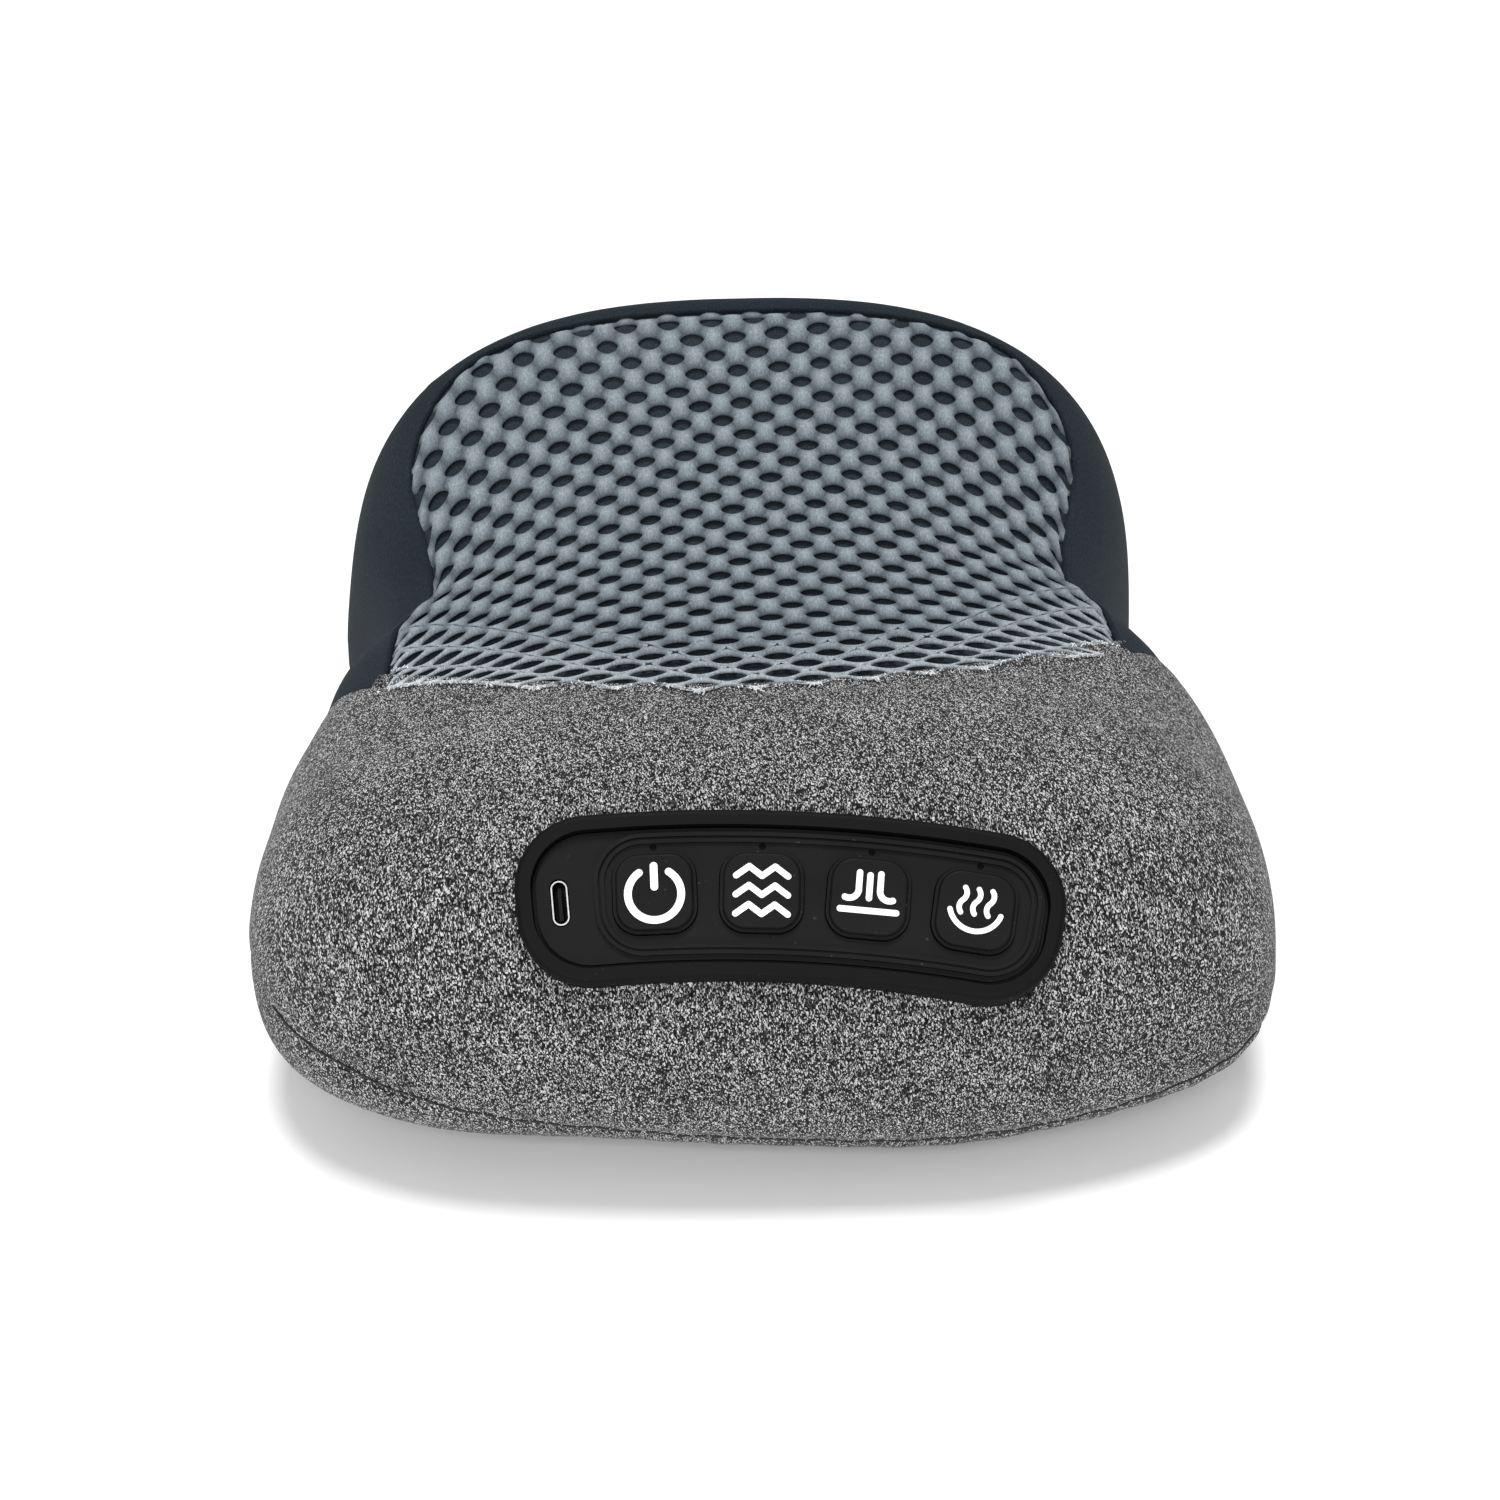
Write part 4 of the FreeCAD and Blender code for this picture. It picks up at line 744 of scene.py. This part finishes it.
def outward(points):
    """Unit directions out of the pillow, near enough for small surface moves."""
    y = points[:, 1]
    centre = np.column_stack([np.zeros(len(y)), np.clip(y, -60, 60), equator(y)])
    away = points - centre
    away[:, 0] /= half_width(np.clip(y, -90, 90))
    away[:, 1] /= 60.0
    away[:, 2] /= 50.0
    return away / np.linalg.norm(away, axis=1)[:, None]


def dress(points):
    """Small cloth moves on the bare shape: local fullness, a pinched seam, a tuck under the panel's rim."""
    out = outward(points)
    for place, reach, amount in FULLNESS:
        near = np.exp(-((points - np.array(place)) ** 2).sum(axis=1) / reach ** 2)
        points = points + out * (near * amount)[:, None]
    distance, height = panel_distance(points)
    _, _, normal = panel_axes()
    pressed = np.clip(height + 0.4, 0, None) * smooth(1, 0, (distance - 1.0) / 9.0)
    dent = 0.55 * np.exp(-(np.maximum(distance, 0) / 2.6) ** 2) * (distance < 15)
    points = points - normal * (pressed + dent)[:, None]
    front = smooth(1, 0, (points[:, 1] + 30) / 30)
    off_seam = points[:, 2] - seam_height(points[:, 0])
    pinch = 0.8 * np.exp(-(off_seam / 2.0) ** 2) * front
    pucker = 0.2 * np.sin(points[:, 0] * 0.55 + 0.3 * points[:, 1]) * np.exp(-(off_seam / 7.0) ** 2) * front
    tuck = 0.4 * np.exp(-(sew_distance(points) / 2.4) ** 2)
    return points + out * (pucker - pinch - tuck)[:, None]


def held_share(points):
    """How firmly the cover is held at a point: 1 at seams, rims, under the net and on the table."""
    edges = np.abs(sew_distance(points)) - 2.0
    edges = np.minimum(edges, np.maximum(panel_distance(points)[0] - 3.0, 0))
    edges = np.minimum(edges, np.maximum(net_distance(points) - 2.0, 0))
    edges = np.minimum(edges, np.maximum(points[:, 2] - FOOT_Z - 2.0, 0))
    off_seam = np.abs(points[:, 2] - seam_height(points[:, 0])) - 1.5
    edges = np.minimum(edges, np.where(points[:, 1] < 0, off_seam, 60.0))
    return smooth(1, 0, edges / 7.0)


def puff_up(template):
    """A cloth simulation of the stuffed cover: pressure from inside, held along its seams."""
    form = template.copy()
    form.data = template.data.copy()
    bpy.context.scene.collection.objects.link(form)
    even = form.modifiers.new("even", "REMESH")
    even.mode = "VOXEL"
    even.voxel_size = CLOTH_SPACING
    apply_modifiers(form)
    before = vertex_places(form.data)
    group = form.vertex_groups.new(name="held")
    for number, share in enumerate(held_share(before)):
        group.add([number], float(share), "REPLACE")
    cloth = form.modifiers.new("cloth", "CLOTH")
    cloth.settings.quality = 6
    cloth.settings.mass = 0.2
    cloth.settings.tension_stiffness = 14.0
    cloth.settings.compression_stiffness = 14.0
    cloth.settings.shear_stiffness = 6.0
    cloth.settings.bending_stiffness = 0.3
    cloth.settings.vertex_group_mass = "held"
    cloth.settings.use_pressure = True
    cloth.settings.uniform_pressure_force = 4.0
    cloth.settings.effector_weights.gravity = 0.0
    cloth.collision_settings.use_collision = False
    for number in range(1, CLOTH_FRAMES + 1):
        bpy.context.scene.frame_set(number)
    evaluated = form.evaluated_get(bpy.context.evaluated_depsgraph_get())
    moves = vertex_places(evaluated.data) - before
    bpy.context.scene.frame_set(1)
    length = np.linalg.norm(moves, axis=1)
    moves *= (CLOTH_REACH * np.tanh(length / CLOTH_REACH) / np.maximum(length, 1e-6))[:, None]
    tree = KDTree(len(before))
    for number, place in enumerate(before):
        tree.insert(place, number)
    tree.balance()
    for vert in template.data.vertices:
        found = tree.find_n(vert.co / MM, 5)
        weights = np.array([1 / (distance + 0.4) ** 2 for _, _, distance in found])
        move = (moves[[number for _, number, _ in found]] * weights[:, None]).sum(axis=0) / weights.sum()
        vert.co += Vector(move * MM)
    bpy.data.objects.remove(form)


def add_cloth_coordinates(obj):
    """UV in metres: distance round the section, and distance along the pillow's length."""
    mesh = obj.data
    places = vertex_places(mesh) * MM
    corners = np.zeros(len(mesh.loops), dtype=np.int32)
    mesh.loops.foreach_get("vertex_index", corners)
    face_of = np.zeros(len(mesh.loops), dtype=np.int32)
    for poly in mesh.polygons:
        face_of[poly.loop_start:poly.loop_start + poly.loop_total] = poly.index
    facing = np.zeros(len(mesh.polygons) * 3)
    mesh.polygons.foreach_get("normal", facing)
    facing = facing.reshape(-1, 3)[face_of]
    p = places[corners]
    steep = np.abs(facing[:, 0]) > 0.75
    upright = (np.abs(facing[:, 1]) > np.abs(facing[:, 2])) & ~steep
    u = np.where(steep, p[:, 1], p[:, 0])
    v = np.where(steep | upright, p[:, 2], p[:, 1])
    layer = mesh.uv_layers.get("cloth") or mesh.uv_layers.new(name="cloth")
    layer.data.foreach_set("uv", np.column_stack([u, v]).ravel())


def knit_edge(points):
    return sew_distance(points) + np.where(net_side_distance(points) < 2.0, KNIT_TURNED_UNDER, 0.0)


def panel_hole(points):
    return panel_distance(points)[0] + 1.9


def above_foot(points):
    return FOOT_Z - points[:, 2]


def finish_cover(cover, thickness, *nodes):
    thicken(cover, thickness)
    add_cloth_coordinates(cover)
    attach(cover, ROOT_BODY)
    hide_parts(*nodes)


def make_covers(template, knit, slate, grip):
    front = piece_from(template, "front_cover_knit", knit,
                       [(knit_edge, False), (panel_hole, False), (above_foot, True)])
    rear = piece_from(template, "rear_cover_slate", slate,
                      [(sew_distance, True), (net_distance, False), (above_foot, True)])
    foot = piece_from(template, "underside_cloth", grip, [(above_foot, False)])
    finish_cover(front, 1.6, "knit_cover")
    finish_cover(rear, 1.6, "rear_cover")
    finish_cover(foot, 1.6, "bottom_panel")
    return front


def make_lining(template, material):
    """Dark cloth stretched just under the net."""
    upper = piece_from(template, "net_lining_blank", material, [(lambda p: net_distance(p) - 8.0, True)])
    lining = piece_from(upper, "net_lining", material, [(lining_outline, True)])
    bpy.data.objects.remove(upper)
    places = vertex_places(lining.data)
    places -= outward(places) * 1.7
    for vert, place in zip(lining.data.vertices, places):
        vert.co = Vector(place * MM)
    thicken(lining, 0.5)
    add_cloth_coordinates(lining)
    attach(lining, ROOT_BODY)
    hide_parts("mesh_lining")


def make_foams(template, material):
    """The foam blocks, trimmed so that they stay just under the cloth wherever it is pulled in."""
    tree = BVHTree.FromObject(template, bpy.context.evaluated_depsgraph_get())
    for name in ("foam_front_lobe", "foam_rear_lobe", "foam_left_side", "foam_right_side"):
        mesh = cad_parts[name].data.copy()
        places = vertex_places(mesh)
        room = np.where(net_distance(places) < 6.0, FOAM_ROOM_UNDER_NET, FOAM_ROOM) * MM
        for vert, gap in zip(mesh.vertices, room):
            skin, normal, _, _ = tree.find_nearest(vert.co)
            depth = (skin - vert.co).dot(normal)
            if depth < gap:
                vert.co -= normal * (gap - depth)
        foam = new_object(name + "_cut", mesh, material)
        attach(foam, ROOT_BODY)
        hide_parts(name)


def lining_outline(points):
    return np.maximum(sew_distance(points) + KNIT_TURNED_UNDER - 0.2, net_side_distance(points) - 4.0)


# ---- Net ----
def ramp_table():
    """Distances up the ramp's middle line, and the y at each."""
    y = np.linspace(-50, 98, 1500)
    z = crown(y)
    step = np.hypot(np.diff(y), np.diff(z))
    return np.concatenate([[0], np.cumsum(step)]), y


RAMP_LENGTH, RAMP_Y = ramp_table()


def net_point(column, row):
    """Surface point of the stretched lattice at a column and row, which need not be whole numbers."""
    pitch = NET_PITCH + NET_SPREAD * (row - NET_WAIST_ROW) ** 2
    x = 2.6 + NET_DRIFT * row + pitch * column
    bow = 0.0027 * ((row - 3) / 12) ** 2 - 0.0013
    way = NET_MIDDLE + NET_ROW * row + NET_ROW_GROWTH * row ** 2 + NET_SKEW * x + bow * x ** 2
    y = np.interp(way, RAMP_LENGTH, RAMP_Y)
    return np.column_stack([x, y, top_z(x, y)])


def lens(count, half_width_, half_height):
    """A hole with drawn-out ends, in columns and rows."""
    turns = np.linspace(0, 2 * np.pi, count, endpoint=False)
    c = np.cos(turns)
    s = np.sin(turns)
    return np.column_stack([half_width_ * np.sign(c) * np.abs(c) ** 1.15,
                            half_height * np.sign(s) * np.abs(s) ** 1.05])


def diamond(count):
    """The cell's own border, shared with its neighbours, sampled like the hole."""
    turns = np.linspace(0, 2 * np.pi, count, endpoint=False)
    c = np.cos(turns)
    s = np.sin(turns)
    size = np.abs(c) + np.abs(s)
    return np.column_stack([0.5 * c / size, s / size])


CELL_POINTS = 16
NET_ROWS = range(-15, 20)
NET_COLUMNS = 11


def net_cells():
    """Whole cells, and the quarters of the cut cells along the front edge."""
    whole = {}
    for row in NET_ROWS:
        for half_column in range(-2 * NET_COLUMNS, 2 * NET_COLUMNS + 1):
            if (half_column + row) % 2:
                continue
            centre = net_point(np.array([half_column / 2]), np.array([float(row)]))
            inside = sew_distance(centre)[0] < -2.0 and net_side_distance(centre)[0] < 2.5
            whole[(half_column, row)] = bool(inside and abs(centre[0, 0]) < 97)
    quarters = {}
    for (half_column, row), inside in whole.items():
        if inside:
            quarters[(half_column, row)] = range(CELL_POINTS)
            continue
        pieces = []
        if whole.get((half_column + 1, row + 1)):
            pieces += range(0, CELL_POINTS // 4)
        if whole.get((half_column - 1, row + 1)):
            pieces += range(CELL_POINTS // 4, CELL_POINTS // 2)
        centre = net_point(np.array([half_column / 2]), np.array([float(row)]))
        if pieces and sew_distance(centre)[0] > -6 and net_side_distance(centre)[0] < 3:
            quarters[(half_column, row)] = pieces
    return quarters


def front_share(points):
    """1 where the net is pulled tight along its front edge, 0 where it lies loose and puffy."""
    return 1 - smooth(0, 1, (-sew_distance(points) - 2.0) / 24.0)


def make_net(yarn):
    """An open lattice: puffed nodes joined by slanting strands round lens-shaped holes."""
    border = diamond(CELL_POINTS)
    corner = np.cos(2 * np.linspace(0, 2 * np.pi, CELL_POINTS, endpoint=False)) ** 2
    rng = np.random.default_rng(7)
    points = []
    faces = []
    yarn_tone_and_shade_values = []
    for (half_column, row), pieces in net_cells().items():
        centre = net_point(np.array([half_column / 2]), np.array([float(row)]))
        back = 1 - float(front_share(centre)[0])
        wobble = 1 + 0.05 * rng.standard_normal(2)
        hole = lens(CELL_POINTS, (0.365 - 0.105 * back) * wobble[0], (0.64 - 0.30 * back) * wobble[1])
        if len(pieces) < CELL_POINTS:
            hole = lens(CELL_POINTS, 0.42, 0.82)
        start = len(points)
        puff = 0.05 + 0.85 * back
        shoulder = hole * 0.45 + border * 0.55
        # The last value of each layer is painted highlight and shade for the yarn: high at the puffed nodes
        # on the diamond's tips, low along the strands and round the hole.
        layers = ((border, 0.15 + puff * corner, corner),
                  (shoulder, 0.30 + 0.5 * puff * corner, corner * 0.8),
                  (hole, -0.35 + 0 * corner, corner * 0.1))
        for offsets, lift, relief in layers:
            ring_points = net_point(half_column / 2 + offsets[:, 0], row + offsets[:, 1])
            edge = net_side_distance(ring_points)
            lift = lift - 2.2 * smooth(0, 1, (edge + 3.5) / 4.5)
            lift = lift + 0.35 * smooth(0, 1, (sew_distance(ring_points) + 5) / 5)
            points.extend(ring_points + outward(ring_points) * lift[:, None])
            cut_edge = smooth(0, 1, (sew_distance(ring_points) + 2.8) / 2.5)
            # Red: painted node highlight and strand shade; green: how far the net is pulled tight along the
            # front; blue: the cut edge.
            yarn_tone_and_shade_values.extend(np.column_stack([relief, front_share(ring_points), cut_edge, np.ones(CELL_POINTS)]))
        for layer in range(2):
            for i in pieces:
                j = (i + 1) % CELL_POINTS
                first = start + layer * CELL_POINTS
                faces.append((first + i, first + j, first + CELL_POINTS + j, first + CELL_POINTS + i))
    obj = new_object("stretched_net", mesh_from("stretched_net", points, faces), yarn)
    tone = obj.data.attributes.new("yarn_tone_and_painted_shade", "FLOAT_COLOR", "POINT")
    tone.data.foreach_set("color", np.array(yarn_tone_and_shade_values).ravel())
    bm = bmesh.new()
    bm.from_mesh(obj.data)
    bmesh.ops.delete(bm, geom=[v for v in bm.verts if not v.link_faces], context="VERTS")
    bmesh.ops.remove_doubles(bm, verts=bm.verts, dist=0.10 * MM)
    bmesh.ops.recalc_face_normals(bm, faces=bm.faces)
    bm.to_mesh(obj.data)
    bm.free()
    if sum(p.normal.z for p in obj.data.polygons) < 0:
        obj.data.flip_normals()
    solid = obj.modifiers.new("thickness", "SOLIDIFY")
    solid.thickness = NET_THICKNESS * MM
    solid.offset = -0.6
    rounding = obj.modifiers.new("round", "SUBSURF")
    rounding.levels = 1
    rounding.render_levels = 1
    apply_modifiers(obj)
    shade_smooth(obj)
    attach(obj, ROOT_BODY)
    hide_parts("mesh_net")


def make_fray(material):
    """Short broken yarn ends where the net's front edge was cut."""
    rng = np.random.default_rng(21)
    bm = bmesh.new()
    for (half_column, row), pieces in net_cells().items():
        if len(pieces) == CELL_POINTS:
            continue
        tips = []
        if 0 in pieces:
            tips.append(0.5)
        if CELL_POINTS // 2 - 1 in pieces:
            tips.append(-0.5)
        arch = [(side * share, (1 - share * 2) * 0.62 + 0.05) for side in (-1, 1) for share in (0.2, 0.36)]
        tufts = [(tip, 0.0, 7) for tip in tips]
        tufts += [(a, u, 2) for a, u in arch if np.sign(a) in np.sign(tips)]
        for across, up, count in tufts:
            for _ in range(count):
                column = half_column / 2 + across + rng.normal(0, 0.05)
                spot = net_point(np.array([column]), np.array([row + up + rng.normal(0, 0.07)]))
                spot = spot + outward(spot) * rng.uniform(0.35, 0.9)
                length = rng.uniform(0.5, 1.3) if count > 2 else rng.uniform(0.3, 0.7)
                away = np.array([rng.normal(0, 0.55), -1.0, rng.normal(0.1, 0.35)])
                away /= np.linalg.norm(away)
                end = spot[0] + away * length
                middle = (spot[0] + end) / 2 + rng.normal(0, 0.12, 3)
                add_capsule(bm, [spot[0], middle, end], 0.13)
    obj = smooth_object(bm, "net_frayed_ends", material)
    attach(obj, ROOT_BODY)


# ---- Stitches ----
def make_stitches(cover, material):
    """A row of short dark stitches along the foot seam of the front lobe."""
    tree = BVHTree.FromObject(cover, bpy.context.evaluated_depsgraph_get())
    bm = bmesh.new()
    x = -103.0
    while x < 103.0:
        ends = [seam_point(tree, x + step) for step in (-1.05, 0.0, 1.05)]
        if all(end is not None for end in ends):
            add_capsule(bm, ends, 0.26)
        steep = abs(x) / 103.0
        x += 3.3 * (1 - 0.55 * steep ** 4)
    obj = smooth_object(bm, "foot_seam_stitches", material)
    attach(obj, ROOT_BODY)


def seam_point(tree, x):
    """Point of the front cover at the seam's height over x, in millimetres."""
    start = Vector((x, FRONT_Y - 20, seam_height(x))) * MM
    place, _, _, _ = tree.ray_cast(start, Vector((0, 1, 0)), 0.2)
    if place is None:
        return None
    return np.array(place) / MM + np.array([0, -0.1, 0])


def add_capsule(bm, path, radius):
    """A short round thread through three points, with domed ends."""
    sides = 8
    path = [Vector(p) * MM for p in path]
    radius = radius * MM
    along = (path[-1] - path[0]).normalized()
    side = along.cross(Vector((0.2, -1, 0.1))).normalized()
    other = along.cross(side)
    profile = [(path[0] - along * radius * 0.9, 0.35), (path[0], 1.0), (path[1], 1.1), (path[2], 1.0),
               (path[2] + along * radius * 0.9, 0.35)]
    rings = []
    for centre, size in profile:
        loop = []
        for i in range(sides):
            turn = 2 * math.pi * i / sides
            round_way = side * math.cos(turn) + other * math.sin(turn)
            loop.append(bm.verts.new(centre + round_way * radius * size))
        rings.append(loop)
    for a, b in zip(rings, rings[1:]):
        for i in range(sides):
            j = (i + 1) % sides
            bm.faces.new((a[i], a[j], b[j], b[i]))
    bm.faces.new(rings[0][::-1])
    bm.faces.new(rings[-1])


# ---- CAD nodes that keep their shape ----
def dress_nodes(foam):
    black = plastic_material("black_plastic", (0.018, 0.018, 0.019), 0.45)
    steel = metal_material("zinc_steel", (0.60, 0.61, 0.63), 0.28)
    bronze = metal_material("bronze", (0.48, 0.33, 0.16), 0.35)
    rubber = rubber_material("panel_rubber", (0.0018, 0.0018, 0.0019), 0.52)
    sheet_rubber = rubber_material("keypad_rubber", (0.0044, 0.0044, 0.0045), 0.48)
    cap_rubber = rubber_material("button_rubber", (0.0042, 0.0042, 0.0043), 0.46)
    white = grained_material("sign_white", 400, (0.80, 0.795, 0.77), (0.90, 0.895, 0.87), (0.42, 0.6),
                             0.1, 0.03, grain=4000)
    wrap = grained_material("cell_wrap", 180, (0.02, 0.07, 0.22), (0.04, 0.12, 0.34), (0.2, 0.4), 0.2, 0.1)
    board = board_material()
    table = {
        "panel_bezel": rubber, "keypad_sheet": sheet_rubber,
        "usb_inlet": inlet_material(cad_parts["usb_inlet"]),
        "status_lamps": rubber_material("smoked_lamp", (0.0004, 0.0004, 0.0004), 0.7),
        "panel_frame": black, "panel_board": board, "tact_switches": black, "panel_screws": steel,
        "base_shell": black, "top_shell": black, "housing_screws": steel, "gearbox_lower": black,
        "gearbox_upper": black, "gearbox_screws": steel, "shaft_bushes": bronze,
        "drive_motor": steel, "vibration_motor": steel, "vibration_weight": steel, "worm_shaft": steel,
        "main_board": board, "board_screws": steel, "battery_cells": wrap,
        "battery_holder": black, "internal_leads": lead_material(), "heating_film": film_material(),
        "foam_front_lobe": foam, "foam_rear_lobe": foam, "foam_left_side": foam, "foam_right_side": foam,
    }
    nylon = plastic_material("natural_acetal", (0.74, 0.72, 0.66), 0.35)
    grey = plastic_material("rotor_nylon", (0.06, 0.062, 0.066), 0.5)
    amber = plastic_material("node_elastomer", (0.55, 0.20, 0.045), 0.3)
    for side in ("left", "right"):
        table["rotor_" + side] = grey
        table["worm_wheel_" + side] = nylon
        table["node_screws_" + side] = steel
        table["node_large_" + side] = amber
        table["node_small_" + side] = amber
    for name in ("power", "wave", "knead", "heat"):
        table["button_" + name] = cap_rubber
        table["icon_" + name] = white
    for name, material in table.items():
        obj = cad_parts[name]
        for slot in obj.material_slots:
            slot.material = material
        if not obj.material_slots:
            obj.data.materials.append(material)


# ---- Studio ----
def add_camera():
    e = CAMERA_ELEVATION
    p = CAMERA_AZIMUTH
    back = Vector((math.sin(p) * math.cos(e), -math.cos(p) * math.cos(e), math.sin(e)))
    right = Vector((math.cos(p), math.sin(p), 0))
    up = back.cross(right)
    rolled_right = right * math.cos(CAMERA_ROLL) + up * math.sin(CAMERA_ROLL)
    rolled_up = up * math.cos(CAMERA_ROLL) - right * math.sin(CAMERA_ROLL)
    data = bpy.data.cameras.new("photo_camera")
    data.lens = CAMERA_LENS
    data.sensor_width = 36.0
    data.shift_x, data.shift_y = CAMERA_SHIFT
    data.clip_start = 0.01
    camera = bpy.data.objects.new("photo_camera", data)
    place = Matrix((rolled_right, rolled_up, back)).transposed().to_4x4()
    place.translation = TARGET + back * CAMERA_DISTANCE
    camera.matrix_world = place
    bpy.context.scene.collection.objects.link(camera)
    bpy.context.scene.camera = camera


def add_light(name, place, size, power, aim=(0, 0, 0.05)):
    data = bpy.data.lights.new(name, "AREA")
    data.shape = "RECTANGLE"
    data.size, data.size_y = size
    data.energy = power
    light = bpy.data.objects.new(name, data)
    light.location = place
    light.rotation_euler = (Vector(aim) - Vector(place)).to_track_quat("-Z", "Y").to_euler()
    bpy.context.scene.collection.objects.link(light)


def add_overhead():
    """Soft light from straight above, which keeps the shadow under the pillow."""
    data = bpy.data.lights.new("overhead", "SUN")
    data.energy = 2.3
    data.angle = math.radians(20)
    lamp = bpy.data.objects.new("overhead", data)
    lamp.rotation_euler = (math.radians(-2), 0, 0)
    bpy.context.scene.collection.objects.link(lamp)


def add_studio():
    world = bpy.data.worlds.new("studio")
    world.use_nodes = True
    world.node_tree.nodes["Background"].inputs["Color"].default_value = (1.0, 1.0, 1.0, 1.0)
    world.node_tree.nodes["Background"].inputs["Strength"].default_value = 0.48
    bpy.context.scene.world = world
    bpy.context.scene.view_settings.view_transform = "Standard"
    bpy.ops.mesh.primitive_plane_add(size=12.0, location=(0, 0, -0.0003))
    floor = bpy.context.object
    floor.name = "studio_floor"
    floor.data.materials.append(floor_material())
    add_light("front_key", (-0.15, -1.00, 0.60), (0.9, 0.4), 8.0)
    add_overhead()


# ---- Assembly ----
def build():
    add_camera()
    add_studio()
    template = base_surface()
    puff_up(template)
    front = make_covers(template, knit_material(), slate_material(), grip_material())
    make_lining(template, lining_material())
    foam = foam_material()
    make_foams(template, foam)
    bpy.data.objects.remove(template)
    make_net(net_material())
    make_fray(fray_material())
    make_stitches(front, thread_material("seam_thread", (0.010, 0.010, 0.011)))
    dress_nodes(foam)


build()
